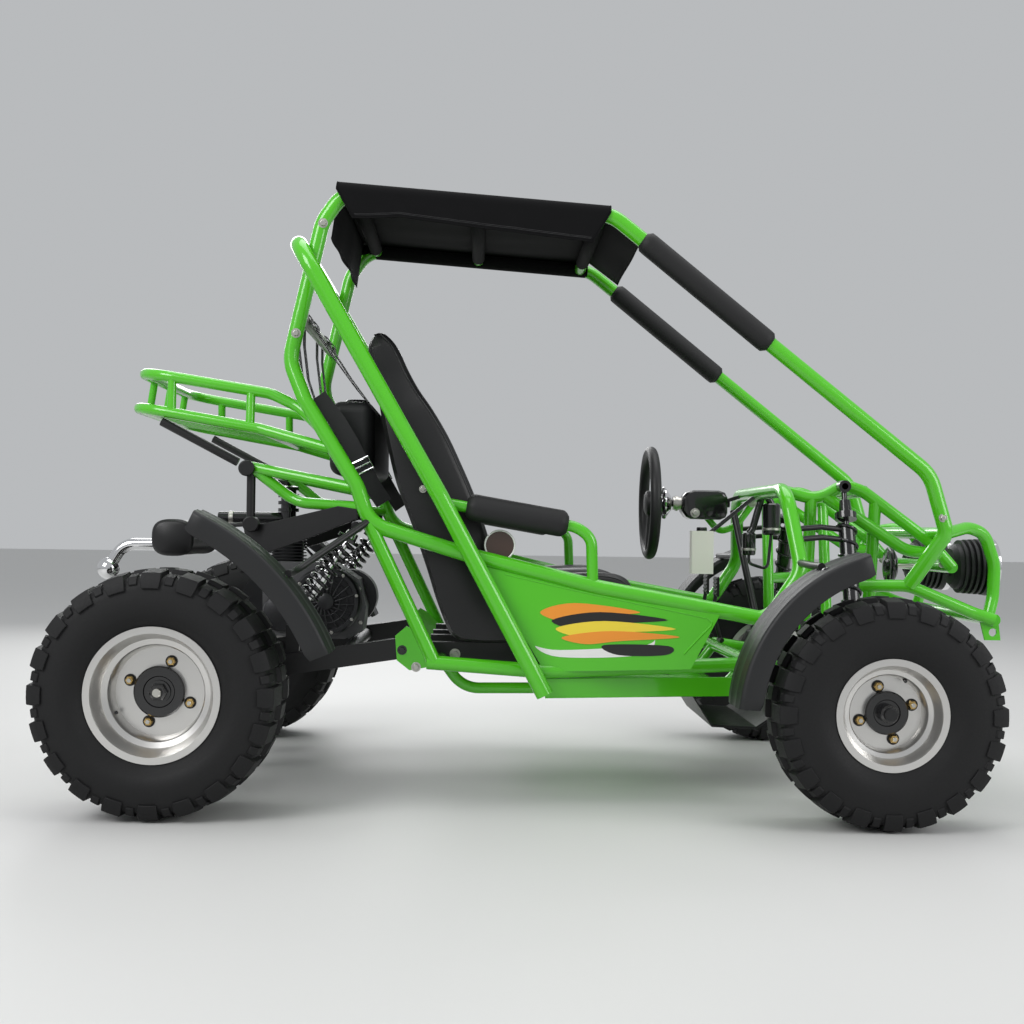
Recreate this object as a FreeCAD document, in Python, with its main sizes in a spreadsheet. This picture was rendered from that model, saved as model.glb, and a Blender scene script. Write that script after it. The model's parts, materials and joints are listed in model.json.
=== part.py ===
import FreeCAD, Part
import math
import os

# Two-seat off-road buggy: tube frame, roof cage, live rear axle and steered front wheels.
# Millimetres. +X forward, +Y left, +Z up, origin on the ground under the middle of the length.

V = FreeCAD.Vector
Turn = FreeCAD.Rotation
X_AXIS = V(1, 0, 0)
Y_AXIS = V(0, 1, 0)
Z_AXIS = V(0, 0, 1)
SIDES = {"right": -1, "left": 1}

# Driving dimensions
SIZES = {
    "wheelbase": 1484,
    "frame_half": 440,
    "cage_half": 340,
    "cage_height": 1364,
    "rear_track_half": 573,
    "rear_tyre_radius": 254,
    "rear_tyre_width": 254,
    "rear_seat_radius": 127,
    "front_track_half": 616,
    "front_tyre_radius": 235,
    "front_tyre_width": 178,
    "front_seat_radius": 102,
    "rim_wall": 3,
    "rim_lip": 12,
    "hoop_tube_radius": 19,
    "frame_tube_radius": 17,
    "rail_tube_radius": 16,
    "nose_tube_radius": 14,
    "rack_tube_radius": 12.5,
    "rack_rod_radius": 6,
    "strut_radius": 10,
    "tube_bend": 90,
    "weld_gap": 0.3,
    "hoop_clearance": 12,
    "running_fit": 0.05,
    "sheet_thickness": 3,
    "axle_radius": 16,
    "swing_half": 345,
    "swing_beam_width": 30,
    "swing_beam_height": 46,
    "shock_radius": 27,
    "shock_eye_radius": 14,
    "stub_radius": 12.5,
    "kingpin_half": 545,
    "kingpin_radius": 9,
    "kingpin_rise": 62,
    "steering_arm_length": 95,
    "wheel_grip_radius": 14,
    "steering_wheel_radius": 148,
    "steering_half": 200,
    "shaft_radius": 9,
    "fender_gap": 52,
    "fender_width": 140,
    "pad_wall": 9,
    "armrest_wall": 19,
    "canopy_thickness": 4,
    "canopy_drop": 96,
    "seat_width": 366,
    "seat_bolster": 62,
    "headlamp_radius": 68,
    "headlamp_length": 118,
    "headlamp_half": 160,
    "engine_width": 230,
    "tow_eye_radius": 9,
}

doc = FreeCAD.newDocument("Buggy")
sheet = doc.addObject("Spreadsheet::Sheet", "Sizes")
for row, (alias, number) in enumerate(SIZES.items(), start=1):
    sheet.set(f"A{row}", alias)
    sheet.set(f"B{row}", str(number))
    sheet.setAlias(f"B{row}", alias)
doc.recompute()


def size(alias):
    """The value of one cell of the sheet."""
    return float(sheet.get(alias))


wheelbase = size("wheelbase")
frame_half = size("frame_half")
cage_half = size("cage_half")
cage_height = size("cage_height")
hoop_r = size("hoop_tube_radius")
frame_r = size("frame_tube_radius")
rail_r = size("rail_tube_radius")
nose_r = size("nose_tube_radius")
rack_r = size("rack_tube_radius")
strut_r = size("strut_radius")
gap = size("weld_gap")
plate = size("sheet_thickness")
rear_r = size("rear_tyre_radius")
front_r = size("front_tyre_radius")

# The side rails run inside the feet of the hoop, tube against tube
rail_half = frame_half - hoop_r - frame_r - gap
hoop_top_half = cage_half + frame_r + hoop_r + size("hoop_clearance")

parts = {}


# Places are shares of the wheelbase ahead of the rear axle and of the cage's height
def spot(x_share, y, z_share):
    return V(x_share * wheelbase, y, z_share * cage_height)


def mirrored(points):
    return [V(p.x, -p.y, p.z) for p in points]


def across(points):
    """A run of points on the right, carried on in mirror image on the left."""
    return points + mirrored(points)[::-1]


def at_x(points, x):
    """The place on a run of points at a given x."""
    for a, b in zip(points, points[1:]):
        if min(a.x, b.x) <= x <= max(a.x, b.x):
            return a + (b - a) * ((x - a.x) / (b.x - a.x))


def at_z(points, z):
    """The place on a run of points at a given height."""
    for a, b in zip(points, points[1:]):
        if min(a.z, b.z) <= z <= max(a.z, b.z):
            return a + (b - a) * ((z - a.z) / (b.z - a.z))


def bent_wire(points, bend):
    """Straight runs joined by tangent arcs, as large as the runs allow."""
    run_share = 0.45
    edges = []
    last = points[0]
    for a, b, c in zip(points, points[1:], points[2:]):
        back = (a - b).normalize()
        ahead = (c - b).normalize()
        turn = math.pi - back.getAngle(ahead)
        shorter = min((a - b).Length, (c - b).Length)
        trim = min(bend * math.tan(turn / 2), run_share * shorter)
        radius = trim / math.tan(turn / 2)
        start = b + back * trim
        end = b + ahead * trim
        middle = b + (back + ahead).normalize() * (math.hypot(radius, trim) - radius)
        edges.append(Part.LineSegment(last, start).toShape())
        edges.append(Part.Arc(start, middle, end).toShape())
        last = end
    edges.append(Part.LineSegment(last, points[-1]).toShape())
    return Part.Wire(edges)


def tube(name, points, radius, extra=""):
    """A bent tube: a circle, its radius bound to the sheet, swept along the runs."""
    spine = doc.addObject("Part::Feature", name + "_spine")
    spine.Shape = bent_wire(points, size("tube_bend"))
    ring = doc.addObject("Part::Circle", name + "_ring")
    ring.setExpression("Radius", f"Sizes.{radius}{extra}")
    ring.Placement = FreeCAD.Placement(points[0], Turn(Z_AXIS, points[1] - points[0]))
    sweep = doc.addObject("Part::Sweep", name)
    sweep.Sections = [ring]
    sweep.Spine = (spine, [f"Edge{i + 1}" for i in range(len(spine.Shape.Edges))])
    sweep.Solid = True
    return sweep


def core(name, points, radius):
    """The same tube, larger by the weld gap, that copes the tubes landing on it."""
    return tube(name + "_core", points, radius, " + Sizes.weld_gap")


def rod(name, start, end, radius):
    """A straight round bar whose radius is a formula of the sheet."""
    item = doc.addObject("Part::Cylinder", name)
    item.setExpression("Radius", radius)
    item.Height = (end - start).Length
    item.Placement = FreeCAD.Placement(start, Turn(Z_AXIS, end - start))
    return item


def block(name, corner, lengths):
    """An upright box from its lowest corner."""
    item = doc.addObject("Part::Box", name)
    item.Length, item.Width, item.Height = lengths
    item.Placement = FreeCAD.Placement(corner, Turn())
    return item


def beam(name, start, end, width, height):
    """A straight bar of rectangular section, width across and height upward."""
    item = doc.addObject("Part::Box", name)
    item.Length = (end - start).Length
    item.setExpression("Width", width)
    item.setExpression("Height", height)
    doc.recompute()
    along = (end - start).normalize()
    up = (Z_AXIS - along * along.z).normalize()
    turn = Turn(along, up.cross(along), up, "XZY")
    offset = up.cross(along) * (item.Width.Value / 2) + up * (item.Height.Value / 2)
    item.Placement = FreeCAD.Placement(start - offset, turn)
    return item


def fuse(name, items):
    joined = doc.addObject("Part::MultiFuse", name)
    joined.Shapes = items
    return joined


def fuse_in_turn(name, items):
    """The same, one item at a time, for tubes that meet at many shallow joints."""
    whole = items[0]
    for number, item in enumerate(items[1:]):
        step = doc.addObject("Part::Fuse", f"{name}_step{number}")
        step.Base = whole
        step.Tool = item
        whole = step
    return whole


def cut(name, base, tools):
    """The base less each tool in turn."""
    for number, tool in enumerate(tools):
        last = number == len(tools) - 1
        result = doc.addObject("Part::Cut", name if last else f"{name}_cut{number}")
        result.Base = base
        result.Tool = tool
        base = result
    return base


def group(name, items):
    """Solids that don't touch, held in one piece."""
    held = doc.addObject("Part::Compound", name)
    held.Links = items
    return held


def keep(label, item):
    """Names one finished sub-part."""
    item.Label = label
    parts[label] = item
    return item


def profile_body(name, outline, plane, depth, offset=0):
    """A closed outline padded by a formula of the sheet, about its plane or from an offset."""
    body = doc.addObject("PartDesign::Body", name)
    sketch = body.newObject("Sketcher::SketchObject", name + "_sketch")
    flat = [f for f in body.Origin.OriginFeatures if f.Role == plane][0]
    sketch.AttachmentSupport = [(flat, "")]
    sketch.MapMode = "FlatFace"
    sketch.AttachmentOffset = FreeCAD.Placement(V(0, 0, offset), Turn())
    for a, b in zip(outline, outline[1:] + outline[:1]):
        sketch.addGeometry(Part.LineSegment(V(a[0], a[1], 0), V(b[0], b[1], 0)))
    pad = body.newObject("PartDesign::Pad", name + "_pad")
    pad.Profile = sketch
    pad.setExpression("Length", depth)
    pad.Midplane = True
    return body


def turned_body(name, outline):
    """A closed outline in (y, radius) turned about the Y axis."""
    body = doc.addObject("PartDesign::Body", name)
    sketch = body.newObject("Sketcher::SketchObject", name + "_sketch")
    flat = [f for f in body.Origin.OriginFeatures if f.Role == "XY_Plane"][0]
    sketch.AttachmentSupport = [(flat, "")]
    sketch.MapMode = "FlatFace"
    for a, b in zip(outline, outline[1:] + outline[:1]):
        sketch.addGeometry(Part.LineSegment(V(a[1], a[0], 0), V(b[1], b[0], 0)))
    turned = body.newObject("PartDesign::Revolution", name + "_turn")
    turned.Profile = sketch
    turned.ReferenceAxis = (sketch, ["V_Axis"])
    turned.Angle = 360
    return body


# Runs of the welded frame, right-hand side

# Along the side frame, y goes from the cage's half width (share 0) to the side rail's (share 1)
SIDE_FRAME_SHARES = [
    (0.160, 0.00, 0.760),
    (0.150, 0.00, 0.711),
    (0.176, 0.30, 0.644),
    (0.258, 0.86, 0.504),
    (0.277, 1.00, 0.444),
    (0.424, 1.00, 0.396),
    (0.619, 1.00, 0.346),
    (0.871, 0.83, 0.297),
    (0.8955, 0.83, 0.337),
]
LOWER_RAIL_SHARES = [
    (0.365, 0.918, 0.2225),
    (0.539, 0.918, 0.210),
    (0.869, 0.682, 0.220),
    (0.937, 0.432, 0.213),
    (1.085, 0.386, 0.213),
]
ROOF_SHARES = [(0.160, 0.760), (0.197, 0.939), (0.230, 0.990), (0.634, 0.957), (1.120, 0.537), (1.139, 0.467)]
LOWER_CROSS_SHARES = (0.385, 0.610, 0.860)
# A tube that lands on another of its own size is drawn this much thinner
landing_share = 0.94


def side_y(share):
    return -(cage_half + share * (rail_half - cage_half))


side_run = [spot(x, side_y(y), z) for x, y, z in SIDE_FRAME_SHARES]
lower_run = [spot(x, -y / LOWER_RAIL_SHARES[0][1] * rail_half, z) for x, y, z in LOWER_RAIL_SHARES]
roof_run = [spot(x, -cage_half, z) for x, z in ROOF_SHARES]
# The side frame's first run carries the cage leg straight on below their bolted joint
leg_share = 0.274
side_run[1] = roof_run[0] + (roof_run[0] - roof_run[1]) * leg_share
under_rise_share = 0.033
under_half_share = 0.74
under_rear = at_x(lower_run, LOWER_CROSS_SHARES[0] * wheelbase)
under_front = at_x(lower_run, LOWER_CROSS_SHARES[-1] * wheelbase)
under_drop = 0.173 * cage_height
under_run = [
    V(under_rear.x, under_half_share * under_rear.y, under_rear.z),
    V(under_rear.x + under_rise_share * wheelbase, under_half_share * under_rear.y, under_drop),
    V(under_front.x - under_rise_share * wheelbase, under_half_share * under_front.y, under_drop),
    V(under_front.x, under_half_share * under_front.y, under_front.z),
]
hoop_run = [
    spot(0.539, -frame_half, 0.175),
    spot(0.381, -frame_half, 0.491),
    spot(0.160, -hoop_top_half, 0.905),
]
dash_run = [
    side_run[-1],
    spot(0.920, side_run[-1].y, 0.377),
    spot(0.908, -0.682 * frame_half, 0.510),
]


def run_on(side, points):
    """The run for one side."""
    return points if SIDES[side] < 0 else mirrored(points)


def build_lower_frame():
    pieces = [tube("lower_rails", across(lower_run), "rail_tube_radius")]
    for number, share in enumerate(LOWER_CROSS_SHARES):
        end = at_x(lower_run, share * wheelbase)
        pieces.append(rod(f"lower_cross{number}", end, V(end.x, -end.y, end.z),
                          f"Sizes.rail_tube_radius * {landing_share}"))
    rear = under_rear
    for side in SIDES:
        pieces.append(tube("under_" + side, run_on(side, under_run), "rack_tube_radius"))
    # Pivot plates of the swing arm, on the rear cross tube
    outline = [
        (0.316 * wheelbase, -0.262 * cage_height),
        (0.333 * wheelbase, -0.278 * cage_height),
        (0.349 * wheelbase, -0.268 * cage_height),
        (rear.x, -rear.z - rail_r * 0.5),
        (rear.x, -rear.z + rail_r * 0.5),
        (0.338 * wheelbase, -0.206 * cage_height),
        (0.319 * wheelbase, -0.222 * cage_height),
    ]
    for side, way in SIDES.items():
        offset = way * (size("swing_half") + size("swing_beam_width") / 2 + plate + gap)
        body = profile_body("pivot_plate_" + side, [(x, -z) for x, z in outline], "XZ_Plane",
                            "2 * Sizes.sheet_thickness", -offset)
        pieces.append(body)
    keep("lower_frame", fuse("lower_frame", pieces))


def cross_core(number):
    """A cross tube of the lower frame, larger by the weld gap."""
    end = at_x(lower_run, LOWER_CROSS_SHARES[number] * wheelbase)
    return rod(f"cross_core{number}", end, V(end.x, -end.y, end.z),
               f"Sizes.rail_tube_radius * {landing_share} + Sizes.weld_gap")


lower_core = core("lower_rails", across(lower_run), "rail_tube_radius")
cross_cores = [cross_core(number) for number in range(len(LOWER_CROSS_SHARES))]
under_cores = [core("under_" + side, run_on(side, under_run), "rack_tube_radius") for side in SIDES]


def build_side_frame(side):
    name = "side_frame_" + side
    run = run_on(side, side_run)
    long_tube = tube(name + "_tube", run, "frame_tube_radius")
    foot = at_x(run_on(side, lower_run), 0.376 * wheelbase)
    leg = tube(name + "_leg", [run[4], foot], "frame_tube_radius", f" * {landing_share}")
    arm_y = SIDES[side] * (frame_half - hoop_r - rack_r - gap)
    rest = at_x(run, 0.609 * wheelbase)
    arm = [
        V(0.382 * wheelbase, arm_y, 0.480 * cage_height),
        V(0.585 * wheelbase, arm_y, 0.443 * cage_height),
        V(0.606 * wheelbase, arm_y, 0.425 * cage_height),
        V(rest.x, rest.y, rest.z),
    ]
    loop = tube(name + "_arm", arm, "rack_tube_radius")
    whole = fuse(name + "_whole", [long_tube, leg, loop])
    keep(name, cut(name, whole, [lower_core, cross_cores[0]]))
    return arm


def build_main_hoop():
    keep("main_hoop", tube("main_hoop", across(hoop_run), "hoop_tube_radius"))


def build_roof_frame(side):
    keep("roof_frame_" + side, tube("roof_frame_" + side, run_on(side, roof_run), "frame_tube_radius"))


roof_cores = [core("roof_" + side, run_on(side, roof_run), "frame_tube_radius") for side in SIDES]
dash_core = core("dash", across(dash_run), "frame_tube_radius")
side_cores = [core("side_" + side, run_on(side, side_run), "frame_tube_radius") for side in SIDES]
hoop_core = core("hoop", across(hoop_run), "hoop_tube_radius")


def cross_bar(name, place, radius, cores):
    """A bar from side to side, coped to the tubes that it lands on."""
    bar = rod(name + "_bar", place, V(place.x, -place.y, place.z), radius)
    return cut(name, bar, cores)


def build_roof_bars():
    rear = at_x(roof_run[2:], 0.245 * wheelbase)
    front = at_x(roof_run[2:], 0.618 * wheelbase)
    middle = (rear + front) * 0.5
    bars = [cross_bar(f"roof_bar{n}", p, "Sizes.frame_tube_radius * 0.9", roof_cores)
            for n, p in enumerate((rear, middle, front))]
    keep("roof_crossbars", group("roof_crossbars", bars))
    low = at_z(roof_run, 0.785 * cage_height)
    keep("harness_bar", cross_bar("harness_bar", low, "Sizes.rack_tube_radius", roof_cores))


def build_dash_hoop():
    keep("dash_hoop", tube("dash_hoop", across(dash_run), "frame_tube_radius"))


# Runs of the nose, as shares of the wheelbase, of the frame's half width and of the cage's height
NOSE_UPPER_SHARES = [
    (0.908, 0.568, 0.510),
    (0.964, 0.568, 0.495),
    (1.006, 0.568, 0.521),
    (1.036, 0.568, 0.510),
    (1.141, 0.568, 0.426),
    (1.175, 0.568, 0.384),
]
LAMP_LOOP_SHARES = [
    (1.193, 0.636, 0.452),
    (1.222, 0.600, 0.441),
    (1.240, 0.580, 0.389),
    (1.238, 0.580, 0.334),
    (1.228, 0.600, 0.298),
]
NOSE_LOW_SHARES = [(0.955, 0.480, 0.351), (0.990, 0.620, 0.351), (1.098, 0.682, 0.353), (1.199, 0.682, 0.308)]
TOWER_SHARES = (0.955, 1.055)


def frame_spot(share):
    return spot(share[0], -share[1] * frame_half, share[2])


nose_upper = [frame_spot(s) for s in NOSE_UPPER_SHARES]
bumper = frame_spot((1.228, 0.700, 0.298))
foot_share = 0.37
pillar_foot = roof_run[-1] + (roof_run[-1] - roof_run[-2]) * foot_share


def build_nose_frame():
    pieces = []
    foot_bend = pillar_foot
    low = [frame_spot(s) for s in NOSE_LOW_SHARES] + [bumper]
    towers = []
    for share in TOWER_SHARES:
        base = at_x(lower_run, share * wheelbase)
        top = at_x(nose_upper, share * wheelbase)
        towers.append([base, top])
    low[0] = at_z(towers[0], low[0].z)
    post_end = at_x(low, 1.098 * wheelbase)
    loop = [foot_bend] + [frame_spot(s) for s in LAMP_LOOP_SHARES]
    mid = [at_x(nose_upper, 0.975 * wheelbase), frame_spot((1.103, 0.568, 0.411)), frame_spot((1.158, 0.568, 0.405))]
    for side in SIDES:
        runs = {"upper": nose_upper, "loop": loop, "low": low, "mid": mid,
                "tower0": towers[0], "tower1": towers[1]}
        for name, run in runs.items():
            pieces.append(tube(f"nose_{name}_{side}", run_on(side, run), "nose_tube_radius"))
        post = run_on(side, [roof_run[-1], foot_bend, post_end])
        pieces.append(tube(f"nose_post_{side}", post, "frame_tube_radius"))
    for number, end in enumerate((pillar_foot, bumper, nose_upper[3], nose_upper[-1])):
        pieces.append(rod(f"nose_cross{number}", end, V(end.x, -end.y, end.z), "Sizes.nose_tube_radius"))
    # Tow plates under the ends of the bumper bar
    eye = tow_eye_place()
    outline = [
        (bumper.x - 0.020 * wheelbase, bumper.z),
        (bumper.x - 0.012 * wheelbase, bumper.z - 0.034 * cage_height),
        (bumper.x + 0.012 * wheelbase, bumper.z - 0.034 * cage_height),
        (bumper.x + 0.008 * wheelbase, bumper.z),
    ]
    holes = []
    for side, way in SIDES.items():
        offset = way * abs(eye.y)
        pieces.append(profile_body("tow_plate_" + side, outline, "XZ_Plane", "2 * Sizes.sheet_thickness", -offset))
        reach = V(0, 2 * plate, 0)
        place = V(eye.x, offset, eye.z)
        holes.append(rod("tow_hole_" + side, place - reach, place + reach, "Sizes.tow_eye_radius"))
    whole = fuse("nose_whole", pieces)
    keep("nose_frame", cut("nose_frame", whole, [lower_core, dash_core] + holes))
    return towers


def tow_eye_place():
    return V(bumper.x, bumper.y + 4 * plate, bumper.z - 0.021 * cage_height)


def build_rear_subframe():
    """Tubes behind the seats: engine hangers, cross tubes and the shelf bar under the tank."""
    pieces = []
    start = at_z(side_run, 0.500 * cage_height)
    end = frame_spot((0.090, 0.682, 0.536))
    second = at_z(side_run, 0.470 * cage_height)
    for side in SIDES:
        pieces.append(tube("sub_upper_" + side, run_on(side, [start, end]), "rack_tube_radius"))
        lower = [second, frame_spot((0.160, 0.700, 0.478)), end]
        pieces.append(tube("sub_lower_" + side, run_on(side, lower), "rack_tube_radius"))
    pieces.append(rod("sub_cross", end, V(end.x, -end.y, end.z), "Sizes.rack_tube_radius"))
    shelf = at_z(side_run, 0.516 * cage_height)
    pieces.append(rod("sub_shelf", shelf, V(shelf.x, -shelf.y, shelf.z), "Sizes.rack_tube_radius"))
    whole = fuse("sub_whole", pieces)
    keep("rear_subframe", cut("rear_subframe", whole, side_cores))
    return whole, end, shelf


RACK_UPPER_SHARES = [(0.164, 0.750, 0.635), (0.121, 0.727, 0.657), (-0.086, 0.682, 0.693)]
RACK_LOWER_SHARES = [(0.106, 0.750, 0.598), (-0.094, 0.682, 0.635)]
RACK_POST_SHARES = (-0.032, 0.090)
RACK_ROD_SHARES = (-0.72, -0.43, -0.14, 0.14, 0.43, 0.72)


def build_rear_rack():
    upper = [at_z(side_run, 0.592 * cage_height)] + [frame_spot(s) for s in RACK_UPPER_SHARES]
    lower = [at_z(side_run, 0.562 * cage_height)] + [frame_spot(s) for s in RACK_LOWER_SHARES]
    pieces = [tube("rack_upper", across(upper), "rack_tube_radius")]
    pieces.append(tube("rack_lower", across(lower), "rack_tube_radius"))
    for side in SIDES:
        for number, share in enumerate(RACK_POST_SHARES):
            ends = [at_x(upper, share * wheelbase), at_x(lower, share * wheelbase)]
            ends = run_on(side, ends)
            pieces.append(rod(f"rack_post{number}_{side}", ends[0], ends[1], "Sizes.rack_tube_radius * 0.8"))
    front = lower[1]
    pieces.append(rod("rack_cross", front, V(front.x, -front.y, front.z), "Sizes.rack_tube_radius * 0.8"))
    for number, share in enumerate(RACK_ROD_SHARES):
        y = share * abs(lower[-1].y)
        run = [V(lower[-1].x, y, lower[-1].z), V(front.x, y, front.z)]
        pieces.append(rod(f"rack_rod{number}", run[0], run[1], "Sizes.rack_rod_radius"))
        top = V(upper[-1].x, y, upper[-1].z)
        if number % 2:
            pieces.append(rod(f"rack_end{number}", run[0], top, "Sizes.rack_tube_radius * 0.7"))
    whole = fuse_in_turn("rack_whole", pieces)
    keep("rear_rack", cut("rear_rack", whole, side_cores))
    return lower


def build_rack_struts(subframe, hanger, rack_lower):
    """Black struts from the rack's rails to the ends of the engine hangers."""
    pieces = []
    top = at_x(rack_lower, -0.047 * wheelbase)
    top = V(top.x, top.y, top.z - rack_r - strut_r - gap)
    foot = V(hanger.x - strut_r, hanger.y, hanger.z)
    away = (foot - top).normalize()
    end = foot - away * (rack_r + strut_r + gap)
    link_top = V(hanger.x, hanger.y, hanger.z - rack_r - gap)
    link_end = V(hanger.x, hanger.y, 0.441 * cage_height)
    for side in SIDES:
        a, b, c, d = run_on(side, [top, end, link_top, link_end])
        pieces.append(rod("strut_" + side, a, b, "Sizes.strut_radius"))
        pieces.append(rod("link_" + side, c, d, "Sizes.strut_radius"))
    keep("rack_struts", cut("rack_struts", group("strut_bars", pieces), [subframe]))


def build_floor_pan():
    under_top = under_drop + rack_r + gap
    outline = []
    for x_share in (0.447, 0.539, 0.798):
        place = at_x(lower_run, x_share * wheelbase)
        outline.append((place.x, place.y))
    outline = outline + [(x, -y) for x, y in outline[::-1]]
    base = profile_body("floor_base", outline, "XY_Plane", "Sizes.sheet_thickness", under_top + plate / 2)
    keep("floor_pan", cut("floor_pan", base, [lower_core]))


PANEL_SHARES = [(0.437, 0.394), (0.619, 0.346), (0.800, 0.311), (0.755, 0.217), (0.539, 0.210)]


def build_side_panel(side):
    outline = [(x * wheelbase, z * cage_height) for x, z in PANEL_SHARES]
    way = SIDES[side]
    body = profile_body("panel_" + side, outline, "XZ_Plane", "Sizes.sheet_thickness", -way * (rail_half + 2 * plate))
    side_core = side_cores[0 if way < 0 else 1]
    keep("side_panel_" + side, cut("side_panel_" + side, body, [side_core, lower_core, hoop_core]))


SEAT_SHARES = [
    (0.264, 0.733), (0.273, 0.762), (0.287, 0.768), (0.303, 0.755), (0.317, 0.697), (0.381, 0.519),
    (0.431, 0.381), (0.465, 0.330), (0.660, 0.359), (0.674, 0.330), (0.664, 0.250), (0.431, 0.250),
    (0.394, 0.262), (0.364, 0.352), (0.310, 0.513),
]
BOLSTER_SHARES = [
    (0.296, 0.640), (0.345, 0.660), (0.385, 0.590), (0.440, 0.430), (0.480, 0.385), (0.640, 0.392),
    (0.650, 0.340), (0.630, 0.290), (0.431, 0.270), (0.364, 0.370), (0.310, 0.533),
]
seat_gap_share = 0.02


def build_seat(side):
    way = SIDES[side]
    middle = way * (size("seat_width") / 2 + seat_gap_share * size("seat_width"))
    outline = [(x * wheelbase, z * cage_height) for x, z in SEAT_SHARES]
    body = profile_body(f"seat_base_{side}", outline, "XZ_Plane", "Sizes.seat_width", -middle)
    wings = []
    wing_line = [(x * wheelbase, z * cage_height) for x, z in BOLSTER_SHARES]
    reach = size("seat_width") / 2 - size("seat_bolster") / 2
    for number, edge in enumerate((-1, 1)):
        wings.append(profile_body(f"seat_wing_{side}{number}", wing_line, "XZ_Plane", "Sizes.seat_bolster",
                                  -(middle + edge * reach)))
    keep("seat_" + side, fuse("seat_" + side, [body] + wings))
    return middle


def build_seat_mounts(middles):
    """Flat bars under the seats, resting on the cross tubes."""
    bars = []
    start = LOWER_CROSS_SHARES[0] * wheelbase - 2 * rail_r
    end = LOWER_CROSS_SHARES[1] * wheelbase + 2 * rail_r
    top = 0.250 * cage_height - gap
    low = 0.210 * cage_height
    spread = size("seat_width") * 0.3
    for number, middle in enumerate(middles):
        for edge in (-1, 1):
            y = middle + edge * spread - rail_r
            corner = V(start, y, low)
            bars.append(block(f"mount{number}{edge + 1}", corner, (end - start, 2 * rail_r, top - low)))
    keep("seat_mounts", cut("seat_mounts", group("mount_bars", bars), cross_cores + under_cores))


def sleeve(name, start, end, outer, inner):
    """A round sleeve, from formulas of the sheet."""
    body = rod(name + "_body", start, end, outer)
    along = (end - start).normalize()
    bore = rod(name + "_bore", start - along, end + along, inner)
    return cut(name, body, [bore])


def build_pads(side, arm):
    a, b = arm[0], arm[1]
    start = a + (b - a) * 0.19
    end = a + (b - a) * 0.93
    keep("armrest_pad_" + side, sleeve("armrest_pad_" + side, start, end,
         "Sizes.rack_tube_radius + Sizes.armrest_wall", "Sizes.rack_tube_radius + Sizes.weld_gap"))
    pillar = run_on(side, roof_run)
    a, b = pillar[3], pillar[4]
    start = a + (b - a) * 0.095
    end = a + (b - a) * 0.50
    keep("pillar_pad_" + side, sleeve("pillar_pad_" + side, start, end,
         "Sizes.frame_tube_radius + Sizes.pad_wall", "Sizes.frame_tube_radius + Sizes.weld_gap"))


def build_canopy():
    """An inverted channel of cloth over the roof tubes, open at the front and the rear."""
    wall = size("canopy_thickness")
    rear = at_x(roof_run[2:], roof_run[2].x)
    front = roof_run[3]
    length = (front - rear).Length + 2 * frame_r
    half = cage_half + frame_r + gap
    slope = math.degrees(math.atan2(rear.z - front.z, front.x - rear.x))
    turn = Turn(Y_AXIS, slope)
    drop = size("canopy_drop")

    def channel(name, reach, top, low, start, run):
        item = doc.addObject("Part::Box", name)
        item.Length, item.Width, item.Height = run, 2 * reach, top - low
        corner = turn.multVec(V(start, -reach, low))
        item.Placement = FreeCAD.Placement(V(rear.x, 0, rear.z) + corner, turn)
        return item

    top = frame_r + gap
    outer = channel("canopy_outer", half + wall, top + wall, top + wall - drop, -frame_r, length)
    inner = channel("canopy_inner", half, top, top - drop, -2 * frame_r, length + 2 * frame_r)
    keep("canopy", cut("canopy", outer, [inner] + roof_cores))


def arch(name, centre, inner, start_deg, end_deg, y_low, y_high):
    """A curved strip about a wheel's axle."""
    wall = plate * 4 / 3
    first, last = math.radians(start_deg), math.radians(end_deg)
    middle = (first + last) / 2

    def point(radius, angle):
        return V(centre.x + radius * math.cos(angle), 0, centre.z + radius * math.sin(angle))

    body = doc.addObject("PartDesign::Body", name)
    sketch = body.newObject("Sketcher::SketchObject", name + "_sketch")
    flat = [f for f in body.Origin.OriginFeatures if f.Role == "XZ_Plane"][0]
    sketch.AttachmentSupport = [(flat, "")]
    sketch.MapMode = "FlatFace"
    sketch.AttachmentOffset = FreeCAD.Placement(V(0, 0, -(y_low + y_high) / 2), Turn())
    outer = inner + wall

    def flat_point(radius, angle):
        p = point(radius, angle)
        return V(p.x, p.z, 0)

    sketch.addGeometry(Part.Arc(flat_point(inner, first), flat_point(inner, middle), flat_point(inner, last)))
    sketch.addGeometry(Part.LineSegment(flat_point(inner, last), flat_point(outer, last)))
    sketch.addGeometry(Part.Arc(flat_point(outer, last), flat_point(outer, middle), flat_point(outer, first)))
    sketch.addGeometry(Part.LineSegment(flat_point(outer, first), flat_point(inner, first)))
    pad = body.newObject("PartDesign::Pad", name + "_pad")
    pad.Profile = sketch
    pad.Length = abs(y_high - y_low)
    pad.Midplane = True
    return body


rear_axle_place = V(0, 0, rear_r)
front_axle_place = V(wheelbase, 0, front_r)


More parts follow.
